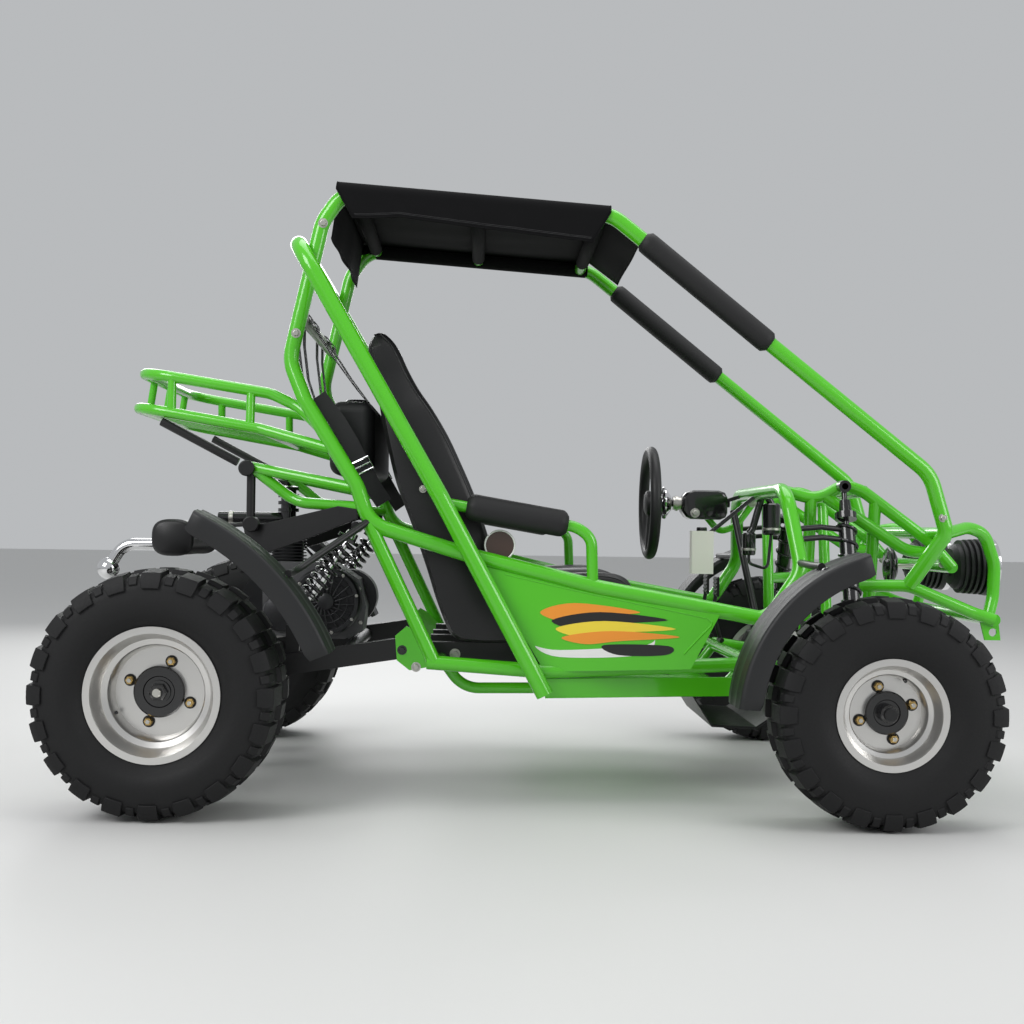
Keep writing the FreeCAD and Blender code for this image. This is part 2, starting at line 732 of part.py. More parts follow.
def build_fenders(side):
    way = SIDES[side]
    space = size("fender_gap")
    wide = size("fender_width")
    outer = way * (size("front_track_half") + size("front_tyre_width") * 0.42)
    inner = outer - way * wide
    radius = front_r + space
    strip = arch("front_arch_" + side, front_axle_place, radius, 95, 176, inner, outer)
    # A round stay from the leg of the dash hoop to the inner edge of the strip
    leg = at_z(run_on(side, dash_run)[1:], 0.390 * cage_height)
    angle = math.radians(112)
    tip = V(wheelbase + (radius + strut_r) * math.cos(angle), (inner + outer) / 2,
            front_r + (radius + strut_r) * math.sin(angle))
    stay = tube("front_stay_" + side, [leg, V(tip.x, tip.y - way * wide / 2, tip.z), tip], "strut_radius", " * 0.8")
    whole = fuse("front_fender_whole_" + side, [strip, stay])
    keep("front_fender_" + side, cut("front_fender_" + side, whole, [dash_core]))

    outer = way * (size("rear_track_half") + size("rear_tyre_width") * 0.46)
    inner = outer - way * wide
    radius = rear_r + space * 1.65
    strip = arch("rear_arch_" + side, rear_axle_place, radius, 12, 80, inner, outer)
    angle = math.radians(44)
    tip = V((radius + strut_r) * math.cos(angle), (inner + outer) / 2, rear_r + (radius + strut_r) * math.sin(angle))
    leg = at_z(run_on(side, side_run)[:5], 0.452 * cage_height)
    stay = tube("rear_stay_" + side, [leg, V(tip.x, tip.y - way * wide / 2, tip.z), tip], "strut_radius", " * 0.8")
    whole = fuse("rear_fender_whole_" + side, [strip, stay])
    keep("rear_fender_" + side, cut("rear_fender_" + side, whole, side_cores))


def build_rim(label, seat_radius, width, disc_share, bore, hub_radius):
    """A drop-centre rim with its disc and hub, turned about the axle; outboard is +y."""
    wall = size("rim_wall")
    lip = size("rim_lip")
    half = width / 2
    drop = seat_radius * 0.86
    seat = seat_radius - gap
    disc_y = disc_share * half
    flat = half * 0.16
    outline = [
        (-half, seat + lip), (-half + wall, seat + lip), (-half + wall, seat), (-half + wall + flat, seat),
        (-half + wall + 2 * flat, drop), (disc_y - wall, drop), (half - wall - 2 * flat, drop),
        (half - wall - flat, seat), (half - wall, seat), (half - wall, seat + lip), (half, seat + lip),
        (half, seat - wall), (half - wall - flat, seat - wall), (half - 2 * wall - 2 * flat, drop - wall),
        (disc_y + wall, drop - wall), (disc_y + wall, hub_radius), (disc_y + 4 * wall, hub_radius),
        (disc_y + 4 * wall, bore), (disc_y - 6 * wall, bore), (disc_y - 6 * wall, hub_radius),
        (disc_y, hub_radius), (disc_y, drop - wall), (-half + wall + 2 * flat, drop - wall),
        (-half + flat, seat - wall), (-half, seat - wall),
    ]
    return turned_body(label, outline)


TYRE_PROFILE_SHARES = [
    (-0.36, 0.00), (-0.36, 0.13), (-0.50, 0.40), (-0.50, 0.66), (-0.43, 0.87), (-0.30, 1.00),
    (0.30, 1.00), (0.43, 0.87), (0.50, 0.66), (0.50, 0.40), (0.36, 0.13), (0.36, 0.00),
]
tyre_facets = 24


def tyre_shape(radius, width, seat_radius):
    """A ring of flat facets from the bead seats out to the tips of the lugs."""
    profile = [(w * width, seat_radius + r * (radius - seat_radius)) for w, r in TYRE_PROFILE_SHARES]
    stretch = 1 / math.cos(math.pi / tyre_facets)
    faces = []

    def place(w, r, step):
        angle = 2 * math.pi * step / tyre_facets
        reach = r * stretch
        return V(reach * math.sin(angle), w, reach * math.cos(angle))

    for step in range(tyre_facets):
        for (w0, r0), (w1, r1) in zip(profile, profile[1:] + profile[:1]):
            corners = [place(w0, r0, step), place(w1, r1, step), place(w1, r1, step + 1), place(w0, r0, step + 1)]
            faces.append(Part.Face(Part.makePolygon(corners + corners[:1])))
    solid = Part.Solid(Part.Shell(faces))
    if solid.Volume < 0:
        solid.reverse()
    return solid


def build_wheel(end, side):
    way = SIDES[side]
    seat_radius = size(end + "_seat_radius")
    width = size(end + "_tyre_width")
    rim_width = width * 0.80
    if end == "rear":
        place = V(0, way * size("rear_track_half"), rear_r)
        rim = build_rim(f"{end}_rim_{side}", seat_radius, rim_width, 0.16, size("axle_radius") + gap, 3 * size("axle_radius"))
    else:
        place = V(wheelbase, way * size("front_track_half"), front_r)
        rim = build_rim(f"{end}_rim_{side}", seat_radius, rim_width, 0.15, size("stub_radius") + size("running_fit"),
                        3 * size("stub_radius"))
    turn = Turn(Z_AXIS, 0 if way > 0 else 180)
    rim.Placement = FreeCAD.Placement(place, turn)
    keep(f"{end}_rim_{side}", rim)
    tyre = doc.addObject("Part::Feature", f"{end}_tyre_{side}")
    tyre.Shape = tyre_shape(size(end + "_tyre_radius"), width, seat_radius + gap)
    tyre.Placement = FreeCAD.Placement(place, turn)
    keep(f"{end}_tyre_{side}", tyre)


def build_rear_axle():
    axle_r = size("axle_radius")
    reach = size("rear_track_half") + 0.06 * size("rear_track_half")
    shaft = rod("axle_shaft", V(0, -reach, rear_r), V(0, reach, rear_r), "Sizes.axle_radius")
    sprocket = rod("axle_sprocket", V(0, 60, rear_r), V(0, 66, rear_r), "Sizes.axle_radius * 6")
    disc = rod("axle_disc", V(0, -150, rear_r), V(0, -145, rear_r), "Sizes.axle_radius * 6")
    keep("rear_axle", fuse("rear_axle", [shaft, sprocket, disc]))


def build_swing_arm():
    """Side beams from the pivot plates back to the bearing carriers of the live axle."""
    half = size("swing_half")
    pivot = spot(0.330, 0, 0.242)
    pieces = []
    for side, way in SIDES.items():
        start = V(pivot.x, way * half, pivot.z)
        end = V(0, way * half, rear_r)
        pieces.append(beam("swing_beam_" + side, start, end, "Sizes.swing_beam_width", "Sizes.swing_beam_height"))
        wide = size("swing_beam_width")
        pieces.append(rod("carrier_" + side, V(0, way * half - wide, rear_r), V(0, way * half + wide, rear_r),
                          "Sizes.axle_radius * 2.4"))
        eye = shock_foot(side)
        bracket = V(eye.x, eye.y, eye.z - size("shock_eye_radius") - gap)
        foot = start + (end - start) * ((pivot.x - eye.x) / pivot.x)
        pieces.append(beam("shock_bracket_" + side, foot, bracket, "Sizes.swing_beam_width * 0.5",
                           "Sizes.swing_beam_width"))
    for number, share in enumerate((0.235, 0.075)):
        x = share * wheelbase
        z = pivot.z + (rear_r - pivot.z) * (1 - x / pivot.x)
        pieces.append(rod(f"swing_cross{number}", V(x, -half, z), V(x, half, z), "Sizes.rail_tube_radius"))
    whole = fuse("swing_whole", pieces)
    bore = rod("axle_bore", V(0, -2 * half, rear_r), V(0, 2 * half, rear_r), "Sizes.axle_radius + Sizes.running_fit")
    keep("swing_arm", cut("swing_arm", whole, [bore]))


def shock_foot(side):
    return V(0.161 * wheelbase, SIDES[side] * size("swing_half"), 0.287 * cage_height)


def shock_head(side):
    return V(0.257 * wheelbase, SIDES[side] * size("swing_half"), 0.440 * cage_height)


def build_shock(name, foot, head, radius):
    """A coil-over: eyes, damper body and spring."""
    along = (head - foot).normalize()
    length = (head - foot).Length
    rod_part = rod(name + "_rod", foot, head, f"{radius} * 0.35")
    spring = rod(name + "_spring", foot + along * (0.16 * length), foot + along * (0.84 * length), radius)
    eyes = []
    for number, place in enumerate((foot, head)):
        reach = V(0, size("shock_eye_radius"), 0)
        eyes.append(rod(f"{name}_eye{number}", place - reach, place + reach, "Sizes.shock_eye_radius"))
    return fuse(name, [rod_part, spring] + eyes)


def build_rear_shocks():
    shocks = [build_shock("rear_shock_" + side, shock_foot(side), shock_head(side), "Sizes.shock_radius")
              for side in SIDES]
    keep("rear_shocks", group("rear_shocks", shocks))
    pins = []
    for side, way in SIDES.items():
        head = shock_head(side)
        outer = V(head.x, way * rail_half, head.z)
        inner = V(head.x, head.y + way * (size("shock_eye_radius") + gap), head.z)
        pins.append(rod("shock_pin_" + side, inner, outer, "Sizes.strut_radius"))
    keep("shock_pins", cut("shock_pins", group("shock_pin_pair", pins), side_cores))


tip_spread_share = 0.018


def build_wishbones(towers):
    """Upper and lower arms of the front wheels, with their bushes beside the frame."""
    arms = []
    bush = nose_r
    for side, way in SIDES.items():
        for level, z_way in (("lower", -1), ("upper", 1)):
            ball = V(wheelbase, way * size("kingpin_half"), front_r + z_way * size("kingpin_rise"))
            tip = V(ball.x, ball.y, ball.z + z_way * (strut_r + gap))
            spread = V(tip_spread_share * wheelbase, 0, 0)
            pieces = [rod(f"ball_{level}_{side}", ball, tip + (tip - ball), "Sizes.kingpin_radius * 1.8"),
                      rod(f"tip_{level}_{side}", tip - spread, tip + spread, "Sizes.strut_radius")]
            for number, tower in enumerate(towers):
                height = front_r * (0.98 if level == "lower" else 1.62)
                if level == "lower":
                    base = at_x(lower_run, tower[0].x)
                    reach = rail_r + bush + gap
                    place = V(base.x, way * (abs(base.y) + reach), base.z)
                else:
                    base = at_z(tower, height)
                    place = V(base.x, way * (abs(base.y) + nose_r + bush + 4 * gap), base.z)
                ends = V(bush, 0, 0)
                end = tip - spread if number == 0 else tip + spread
                pieces.append(rod(f"bush_{level}_{side}{number}", place - ends, place + ends, "Sizes.nose_tube_radius"))
                pieces.append(rod(f"arm_{level}_{side}{number}", place, end, "Sizes.strut_radius"))
            arms.append(fuse(f"wishbone_{level}_{side}", pieces))
    keep("wishbones", cut("wishbones", group("wishbone_set", arms), [lower_core]))


def build_front_shocks(towers):
    shocks = []
    for side, way in SIDES.items():
        upper = at_x(nose_upper, wheelbase)
        head = V(wheelbase, way * (abs(upper.y) + nose_r + size("shock_eye_radius") + gap), upper.z)
        foot = V(wheelbase, way * size("kingpin_half") * 0.80, front_r * 0.98)
        shocks.append(build_shock("front_shock_" + side, foot, head, "Sizes.shock_radius * 0.9"))
    keep("front_shocks", group("front_shocks", shocks))


def build_knuckle(side):
    way = SIDES[side]
    pin = V(wheelbase, way * size("kingpin_half"), front_r)
    rise = size("kingpin_rise") - 2 * gap
    post = rod("kingpin_" + side, V(pin.x, pin.y, pin.z - rise), V(pin.x, pin.y, pin.z + rise), "Sizes.kingpin_radius * 1.6")
    end = way * (size("front_track_half") + 0.32 * size("front_tyre_width"))
    stub = rod("stub_" + side, pin, V(pin.x, end, pin.z), "Sizes.stub_radius")
    arm_tip = knuckle_tip(side)
    arm = beam("steering_arm_" + side, pin, arm_tip, "Sizes.kingpin_radius * 2", "Sizes.kingpin_radius * 1.2")
    eye_half = size("kingpin_radius") * 0.6
    eye = rod("steering_eye_" + side, V(arm_tip.x, arm_tip.y, arm_tip.z - eye_half),
              V(arm_tip.x, arm_tip.y, arm_tip.z + eye_half), "Sizes.kingpin_radius * 1.5")
    keep("knuckle_" + side, fuse("knuckle_" + side, [post, stub, arm, eye]))


def knuckle_tip(side):
    return V(wheelbase - size("steering_arm_length"), SIDES[side] * (size("kingpin_half") - size("kingpin_radius") * 2.6), front_r)


rack_place = spot(0.9235, 0, 0.245)
steer_z = 0.4927
steer_x_shares = (0.741, 0.882)
shell_share = 2.2


def link_line():
    """Both ends of the slanted shaft from the wheel's joint down to the rack, and its direction."""
    shaft = size("shaft_radius")
    top = V(steer_x_shares[1] * wheelbase + shaft, size("steering_half"), steer_z * cage_height - shaft)
    foot = V(rack_place.x, 0.20 * frame_half, rack_place.z)
    along = (foot - top).normalize()
    return top, foot - along * shell_share * shaft, along


def build_steering_rack():
    """The rack bar with its tie rods, and the housing that carries it."""
    bar_half = 0.52 * frame_half
    house_half = 0.30 * frame_half
    bar = rod("rack_bar", V(rack_place.x, -bar_half, rack_place.z), V(rack_place.x, bar_half, rack_place.z),
              "Sizes.shaft_radius")
    pieces = [bar]
    for side, way in SIDES.items():
        tip = knuckle_tip(side)
        lift = size("kingpin_radius") * 0.6 + gap + size("shaft_radius")
        end = V(tip.x, tip.y, tip.z + lift)
        start = V(rack_place.x, way * bar_half, rack_place.z)
        pieces.append(rod("tie_rod_" + side, start, end, "Sizes.shaft_radius * 0.8"))
        pieces.append(rod("tie_end_" + side, V(end.x, end.y, tip.z + size("kingpin_radius") * 0.6 + gap),
                          V(end.x, end.y, end.z + size("shaft_radius")), "Sizes.kingpin_radius * 1.1"))
    keep("tie_rods", fuse("tie_rods", pieces))
    shell = rod("rack_shell", V(rack_place.x, -house_half, rack_place.z), V(rack_place.x, house_half, rack_place.z),
                "Sizes.shaft_radius * 2")
    bore = rod("rack_bore", V(rack_place.x, -frame_half, rack_place.z), V(rack_place.x, frame_half, rack_place.z),
               "Sizes.shaft_radius + Sizes.running_fit")
    feet = []
    cross = at_x(lower_run, rack_place.x)
    for number, edge in enumerate((-1, 1)):
        foot = V(rack_place.x, edge * house_half * 0.8, rack_place.z)
        feet.append(rod(f"rack_foot{number}", foot, V(foot.x, edge * abs(cross.y), cross.z), "Sizes.strut_radius"))
    top, low, along = link_line()
    boss = rod("pinion_boss", low + along * shell_share * size("shaft_radius"), low - along * size("shaft_radius"),
               "Sizes.shaft_radius * 2")
    socket = rod("pinion_bore", low, low - along * 2 * size("shaft_radius"),
                 "Sizes.shaft_radius + Sizes.running_fit")
    whole = fuse("rack_house_whole", [shell, boss] + feet)
    keep("rack_housing", cut("rack_housing", whole, [bore, socket, lower_core]))


def build_steering_wheel():
    y = size("steering_half")
    z = steer_z * cage_height
    grip = size("wheel_grip_radius")
    front = steer_x_shares[1] * wheelbase
    back = steer_x_shares[0] * wheelbase
    ring = doc.addObject("Part::Torus", "steering_ring")
    ring.setExpression("Radius1", "Sizes.steering_wheel_radius - Sizes.wheel_grip_radius")
    ring.setExpression("Radius2", "Sizes.wheel_grip_radius")
    ring.Placement = FreeCAD.Placement(V(back, y, z), Turn(Z_AXIS, X_AXIS))
    hub = rod("steering_hub", V(back - grip * 0.3, y, z), V(back + grip * 1.6, y, z), "Sizes.wheel_grip_radius * 2.2")
    shaft = rod("steering_shaft", V(back, y, z), V(front, y, z), "Sizes.shaft_radius")
    pieces = [ring, hub, shaft]
    reach = size("steering_wheel_radius") - grip
    for number, angle in enumerate((0, 180, 270)):
        way = math.radians(angle)
        tip = V(back, y + reach * math.cos(way), z + reach * math.sin(way))
        pieces.append(beam(f"steering_spoke{number}", V(back + grip * 0.5, y, z), tip, "Sizes.wheel_grip_radius * 0.5",
                           "Sizes.wheel_grip_radius * 1.6"))
    keep("steering_wheel", fuse("steering_wheel", pieces))
    column_start = V(back + (front - back) * 0.42, y, z)
    column_end = V(back + (front - back) * 0.93, y, z)
    shell = rod("column_shell", column_start, column_end, "Sizes.shaft_radius * 1.9")
    bracket = beam("column_bracket", V(column_end.x - 2 * size("shaft_radius"), y, z),
                   V(dash_run[-1].x, y, dash_run[-1].z), "Sizes.shaft_radius * 3", "Sizes.shaft_radius")
    bore = rod("column_bore", V(back, y, z), V(front, y, z), "Sizes.shaft_radius + Sizes.running_fit")
    whole = fuse("column_whole", [shell, bracket])
    keep("steering_column", cut("steering_column", whole, [bore, dash_core]))


def build_link_shaft():
    """The slanted shaft from the wheel's joint down into the pinion's boss."""
    top, low, along = link_line()
    start = top + along * size("shaft_radius")
    keep("steering_link", rod("steering_link", start, low - along * gap, "Sizes.shaft_radius"))
    return start, along


def build_headlamps():
    radius = size("headlamp_radius")
    length = size("headlamp_length")
    base = nose_upper[-1]
    start = base.x + nose_r + gap
    lamps, lenses = [], []
    for side, way in SIDES.items():
        y = way * size("headlamp_half")
        lamps.append(rod("lamp_" + side, V(start, y, base.z), V(start + length * 0.92, y, base.z), "Sizes.headlamp_radius"))
        lenses.append(rod("lens_" + side, V(start + length * 0.92 + gap, y, base.z), V(start + length, y, base.z),
                          "Sizes.headlamp_radius * 0.94"))
    keep("headlamps", group("headlamps", lamps))
    keep("headlamp_lenses", group("headlamp_lenses", lenses))
    return start + length, radius


def build_tank(shelf):
    """The tank behind the seats, standing on the shelf bar."""
    low = shelf.z + rack_r + gap
    width = 0.62 * 2 * frame_half
    corner = V(shelf.x - 0.045 * wheelbase, -width / 2, low)
    box = block("tank_box", corner, (0.070 * wheelbase, width, 0.125 * cage_height))
    rounded = doc.addObject("Part::Fillet", "fuel_tank")
    rounded.Base = box
    radius = 0.018 * wheelbase
    rounded.Edges = [(n + 1, radius, radius) for n in range(12)]
    keep("fuel_tank", rounded)


def build_engine():
    """Crankcase with a finned cylinder lying forward, and the belt drive's cover."""
    wide = size("engine_width")
    cross_z = rear_r + (0.242 * cage_height - rear_r) * (0.235 / 0.330) + rail_r + gap
    case_low = cross_z
    case_high = 0.375 * cage_height
    start = 0.082 * wheelbase
    end = 0.255 * wheelbase
    case_corner = V(start, -wide / 2, case_low)
    case_lengths = (end - start, wide, case_high - case_low)
    case = block("crankcase_room", case_corner, case_lengths)
    keep("engine_crankcase", block("engine_crankcase", case_corner, case_lengths))
    exhaust_end = V(start - gap, -wide * 0.3, (case_low + 2 * case_high) / 3)
    radius = wide * 0.22
    top = V((start + end) / 2, 0, case_high + gap)
    head = V(top.x + 0.02 * wheelbase, 0, 0.445 * cage_height)
    barrel = rod("barrel", top, head, "Sizes.engine_width * 0.17")
    pieces = [barrel]
    fins = 6
    for number in range(fins):
        place = top + (head - top) * ((number + 0.5) / fins)
        pieces.append(rod(f"fin{number}", place, place + (head - top) * (0.4 / fins), f"Sizes.engine_width * {radius / wide}"))
    keep("engine_cylinder", cut("engine_cylinder", fuse("cylinder_whole", pieces), [case]))
    cover = block("cover_block", V(start - 0.02 * wheelbase, wide / 2 + gap, case_low + 0.01 * cage_height),
                  (end - start, 0.26 * wide, 0.8 * (case_high - case_low)))
    keep("transmission_cover", cover)
    return exhaust_end


def build_exhaust(engine_end):
    """The silencer across the back with its turned-out tail."""
    radius = 0.21 * size("engine_width")
    place = spot(-0.060, 0, 0.395)
    body = rod("silencer_body", V(place.x, -0.52 * frame_half, place.z), V(place.x, 0.20 * frame_half, place.z),
               f"Sizes.engine_width * {radius / size('engine_width')}")
    tail = rod("silencer_tail", V(place.x, -0.40 * frame_half, place.z), V(place.x - 0.10 * wheelbase, -0.40 * frame_half,
               place.z - 0.02 * cage_height), "Sizes.strut_radius * 2")
    pipe = rod("silencer_pipe", V(place.x, engine_end.y, place.z), engine_end, "Sizes.strut_radius * 1.4")
    flush = rod("silencer_flush", engine_end, engine_end + X_AXIS * 2 * strut_r, "Sizes.strut_radius * 3")
    keep("exhaust", cut("exhaust", fuse("exhaust_whole", [body, tail, pipe]), [flush]))


def build_reservoir():
    """The pale bottle hanging behind the dash hoop."""
    low = 0.362 * cage_height
    corner = V(0.795 * wheelbase, -0.03 * frame_half, low)
    lengths = (0.036 * wheelbase, 0.09 * frame_half, 0.078 * cage_height)
    bottle = block("bottle", corner, lengths)
    bar = dash_run[-1]
    neck = V(corner.x + lengths[0] / 2, corner.y + lengths[1] / 2, low + 0.8 * lengths[2])
    hanger = rod("bottle_hanger", neck, V(bar.x, neck.y, bar.z), "Sizes.strut_radius * 0.5")
    keep("reservoir", cut("reservoir", fuse("reservoir_whole", [bottle, hanger]), [dash_core]))


build_lower_frame()
arms = {side: build_side_frame(side) for side in SIDES}
build_main_hoop()
for side in SIDES:
    build_roof_frame(side)
build_roof_bars()
build_dash_hoop()
towers = build_nose_frame()
subframe, hanger, shelf = build_rear_subframe()
rack_lower = build_rear_rack()
build_rack_struts(subframe, hanger, rack_lower)
build_floor_pan()
middles = []
for side in SIDES:
    build_side_panel(side)
    middles.append(build_seat(side))
    build_pads(side, arms[side])
    build_fenders(side)
build_seat_mounts(middles)
build_canopy()
for side in SIDES:
    build_wheel("rear", side)
    build_wheel("front", side)
    build_knuckle(side)
build_rear_axle()
build_swing_arm()
build_rear_shocks()
build_wishbones(towers)
build_front_shocks(towers)
build_steering_rack()
build_steering_wheel()
link = build_link_shaft()
front_reach, lamp_radius = build_headlamps()
build_tank(shelf)
engine_end = build_engine()
build_exhaust(engine_end)
build_reservoir()

doc.recompute()

# The rear axle stands this far behind the middle of the length
middle_x = (front_reach - rear_r) / 2
shift = FreeCAD.Placement(V(-middle_x, 0, 0), Turn())
for label, item in parts.items():
    item.Placement = shift.multiply(item.Placement)
doc.recompute()

failed = [item.Name for item in doc.Objects if "Invalid" in item.State or "Error" in item.State]
if failed:
    raise RuntimeError(f"these failed: {failed}")
os.makedirs("parts", exist_ok=True)
for label, item in parts.items():
    shape = item.Shape
    if shape.isNull() or not shape.isValid() or not shape.Solids:
        raise RuntimeError(f"{label} is no valid solid")
    shape.exportStep(f"parts/{label}.step")
print("tow", tow_eye_place())
print("middle_x", middle_x, "link", link, "rack", rack_place, "knuckle", knuckle_tip("right"))
print(len(parts), "sub-parts written")
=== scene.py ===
import bpy
import bmesh
import json
from math import acos, atan2, copysign, cos, exp, hypot, pi, radians, sin
from mathutils import Matrix, Vector
from mathutils.bvhtree import BVHTree


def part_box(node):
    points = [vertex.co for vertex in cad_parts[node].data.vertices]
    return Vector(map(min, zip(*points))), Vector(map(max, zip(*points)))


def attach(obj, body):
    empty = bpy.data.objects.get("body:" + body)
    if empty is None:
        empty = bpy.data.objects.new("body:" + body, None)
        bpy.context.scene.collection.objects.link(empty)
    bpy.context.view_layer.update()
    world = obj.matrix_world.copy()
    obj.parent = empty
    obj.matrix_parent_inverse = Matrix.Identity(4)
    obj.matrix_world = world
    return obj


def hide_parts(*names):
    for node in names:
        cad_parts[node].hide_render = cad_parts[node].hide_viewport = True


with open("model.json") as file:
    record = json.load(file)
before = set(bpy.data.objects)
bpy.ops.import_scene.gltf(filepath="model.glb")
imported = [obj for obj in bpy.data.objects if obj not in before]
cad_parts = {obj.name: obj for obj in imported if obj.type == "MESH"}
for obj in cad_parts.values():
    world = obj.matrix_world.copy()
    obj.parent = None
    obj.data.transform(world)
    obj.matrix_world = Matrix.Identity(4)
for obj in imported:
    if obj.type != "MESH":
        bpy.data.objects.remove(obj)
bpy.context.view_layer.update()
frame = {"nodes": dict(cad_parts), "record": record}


nodes = frame["nodes"]


# Materials, all procedural

BLACK = (0.009, 0.009, 0.0095)
surfaces = {}


def paint(name, color, rough, metal=0, coat=0, bump=0, scale=60, vary=0, ior=1.45, transmission=0):
    """One principled surface whose roughness and relief vary with noise in object space."""
    mat = surfaces[name] = bpy.data.materials.new(name)
    mat.use_nodes = True
    tree = mat.node_tree
    shader = tree.nodes["Principled BSDF"]
    for socket, value in (("Base Color", (*color, 1)), ("Roughness", rough), ("Metallic", metal),
                          ("Coat Weight", coat), ("Coat Roughness", 0.06), ("IOR", ior),
                          ("Transmission Weight", transmission)):
        shader.inputs[socket].default_value = value
    noise = tree.nodes.new("ShaderNodeTexNoise")
    noise.inputs["Scale"].default_value = scale
    noise.inputs["Detail"].default_value = 6
    tree.links.new(tree.nodes.new("ShaderNodeTexCoord").outputs["Object"], noise.inputs["Vector"])
    if vary:
        spread = tree.nodes.new("ShaderNodeMapRange")
        spread.inputs["To Min"].default_value = max(rough - 0.5 * vary, 0.02)
        spread.inputs["To Max"].default_value = min(rough + 0.5 * vary, 1)
        tree.links.new(noise.outputs["Fac"], spread.inputs["Value"])
        tree.links.new(spread.outputs["Result"], shader.inputs["Roughness"])
    if bump:
        relief = tree.nodes.new("ShaderNodeBump")
        relief.inputs["Strength"].default_value = bump
        relief.inputs["Distance"].default_value = 0.001
        tree.links.new(noise.outputs["Fac"], relief.inputs["Height"])
        tree.links.new(relief.outputs["Normal"], shader.inputs["Normal"])
    return mat


green = paint("green_paint", (0.085, 0.52, 0.012), 0.22, coat=0.6, vary=0.08, scale=25)
rubber = paint("tyre_rubber", BLACK, 0.62, bump=0.25, vary=0.2, scale=220, ior=1.35)
rim_metal = paint("machined_rim", (0.66, 0.65, 0.63), 0.3, metal=0.9, vary=0.1, scale=40)
vinyl = paint("seat_vinyl", (0.008, 0.008, 0.0085), 0.42, bump=0.2, vary=0.12, scale=420)
steel = paint("black_steel", BLACK, 0.4, vary=0.15, scale=80)
cloth = paint("canopy_cloth", (0.006, 0.006, 0.0065), 0.85, bump=0.3, vary=0.1, scale=900, ior=1.2)
foam = paint("foam_sleeve", BLACK, 0.62, bump=0.2, vary=0.1, scale=500)
plastic = paint("fender_plastic", (0.011, 0.0115, 0.0125), 0.5, bump=0.12, vary=0.12, scale=300)
paint("spring_steel", (0.55, 0.55, 0.56), 0.2, metal=1, vary=0.1)
paint("grey_steel", (0.33, 0.36, 0.3), 0.4, metal=0.6, vary=0.1)
grip = paint("wheel_grip", (0.014, 0.014, 0.015), 0.5, bump=0.2, vary=0.1, scale=350)
paint("lamp_glass", (0.9, 0.92, 0.95), 0.06, transmission=0.6, coat=0.4)
alloy = paint("engine_alloy", (0.16, 0.16, 0.165), 0.45, metal=0.7, bump=0.2, vary=0.15, scale=160)
bottle_white = paint("bottle_plastic", (0.78, 0.77, 0.7), 0.35, vary=0.08)
for item in frame["record"]["subparts"]:
    thing = nodes[item["node"]]
    thing.data.materials.clear()
    thing.data.materials.append(surfaces[item["material_slot"]])

chrome = paint("chrome", (0.75, 0.75, 0.76), 0.1, metal=1, vary=0.05)
brass = paint("brass_nut", (0.62, 0.43, 0.16), 0.3, metal=1, vary=0.1)
gloss_black = paint("gloss_black", (0.01, 0.01, 0.011), 0.16, coat=0.5, vary=0.05)
zinc = paint("zinc", (0.55, 0.54, 0.5), 0.32, metal=1, vary=0.1, scale=90)
webbing = paint("webbing", (0.012, 0.012, 0.013), 0.6, bump=0.35, vary=0.1, scale=700)
thread = paint("seam_thread", (0.03, 0.03, 0.032), 0.5, vary=0.1, scale=400)
glass = paint("clear_glass", (0.95, 0.97, 1), 0.03, transmission=1, vary=0.02)
dial_face = paint("dial_face", (0.06, 0.03, 0.02), 0.2, coat=0.8, vary=0.1)
dark_alloy = paint("dark_alloy", (0.045, 0.045, 0.048), 0.42, metal=0.6, bump=0.2, vary=0.15, scale=140)
white_ink, orange_ink, yellow_ink, black_ink = [
    paint(f"{name}_stripe", color, 0.3, coat=0.3, vary=0.05)
    for name, color in (("white", (0.82, 0.82, 0.8)), ("orange", (0.85, 0.3, 0.03)),
                        ("yellow", (0.85, 0.66, 0.05)), ("black", (0.012, 0.012, 0.012)))]


# Places, and rays from the camera's place through spots of the picture

def vec(*place):
    return Vector(place)


SIDES = {"right": -1, "left": 1}
EYE = vec(-0.1565, -3.479, 0.595)
PICTURE_MIDDLE = (480, 530)
FOCUS = 1400
ROLL = atan2(10, 748)
X, Y, Z, NEAR = vec(1, 0, 0), vec(0, 1, 0), vec(0, 0, 1), vec(0, -1, 0)


def around(angle, reach=1, y=0):
    """A vector round the vehicle's cross axis."""
    return vec(reach * cos(angle), y, reach * sin(angle))


def flip(p, mirror=True):
    return vec(p[0], -p[1], p[2]) if mirror else Vector(p)


def mean_of(points):
    points = list(points)
    return sum(points, Vector()) / len(points)


def middle_of(node):
    low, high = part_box(node)
    return Vector([(a + b) / 2 for a, b in zip(low, high)])


def corners_of(node):
    return [nodes[node].matrix_world @ v.co for v in nodes[node].data.vertices]


trees = {name: BVHTree.FromPolygons(corners_of(name), [tuple(f.vertices) for f in thing.data.polygons])
         for name, thing in nodes.items()}


def at_depth(u, v, y):
    """The place at depth y behind a spot of the picture."""
    du, dv = u - PICTURE_MIDDLE[0], v - PICTURE_MIDDLE[1]
    across = du * cos(ROLL) + dv * sin(ROLL)
    down = -du * sin(ROLL) + dv * cos(ROLL)
    reach = y - EYE.y
    return vec(EYE.x + across * reach / FOCUS, y, EYE.z - down * reach / FOCUS)


def seen(u, v, only=None):
    """Place, normal, node and distance of the solid that a spot of the picture shows."""
    way = (at_depth(u, v, 0) - EYE).normalized()
    best = None
    for name in only or trees:
        place, normal, _, reach = trees[name].ray_cast(EYE, way)
        if place is not None and (best is None or reach < best[3]):
            best = (place, normal, name, reach)
    return best


# Lines and meshes

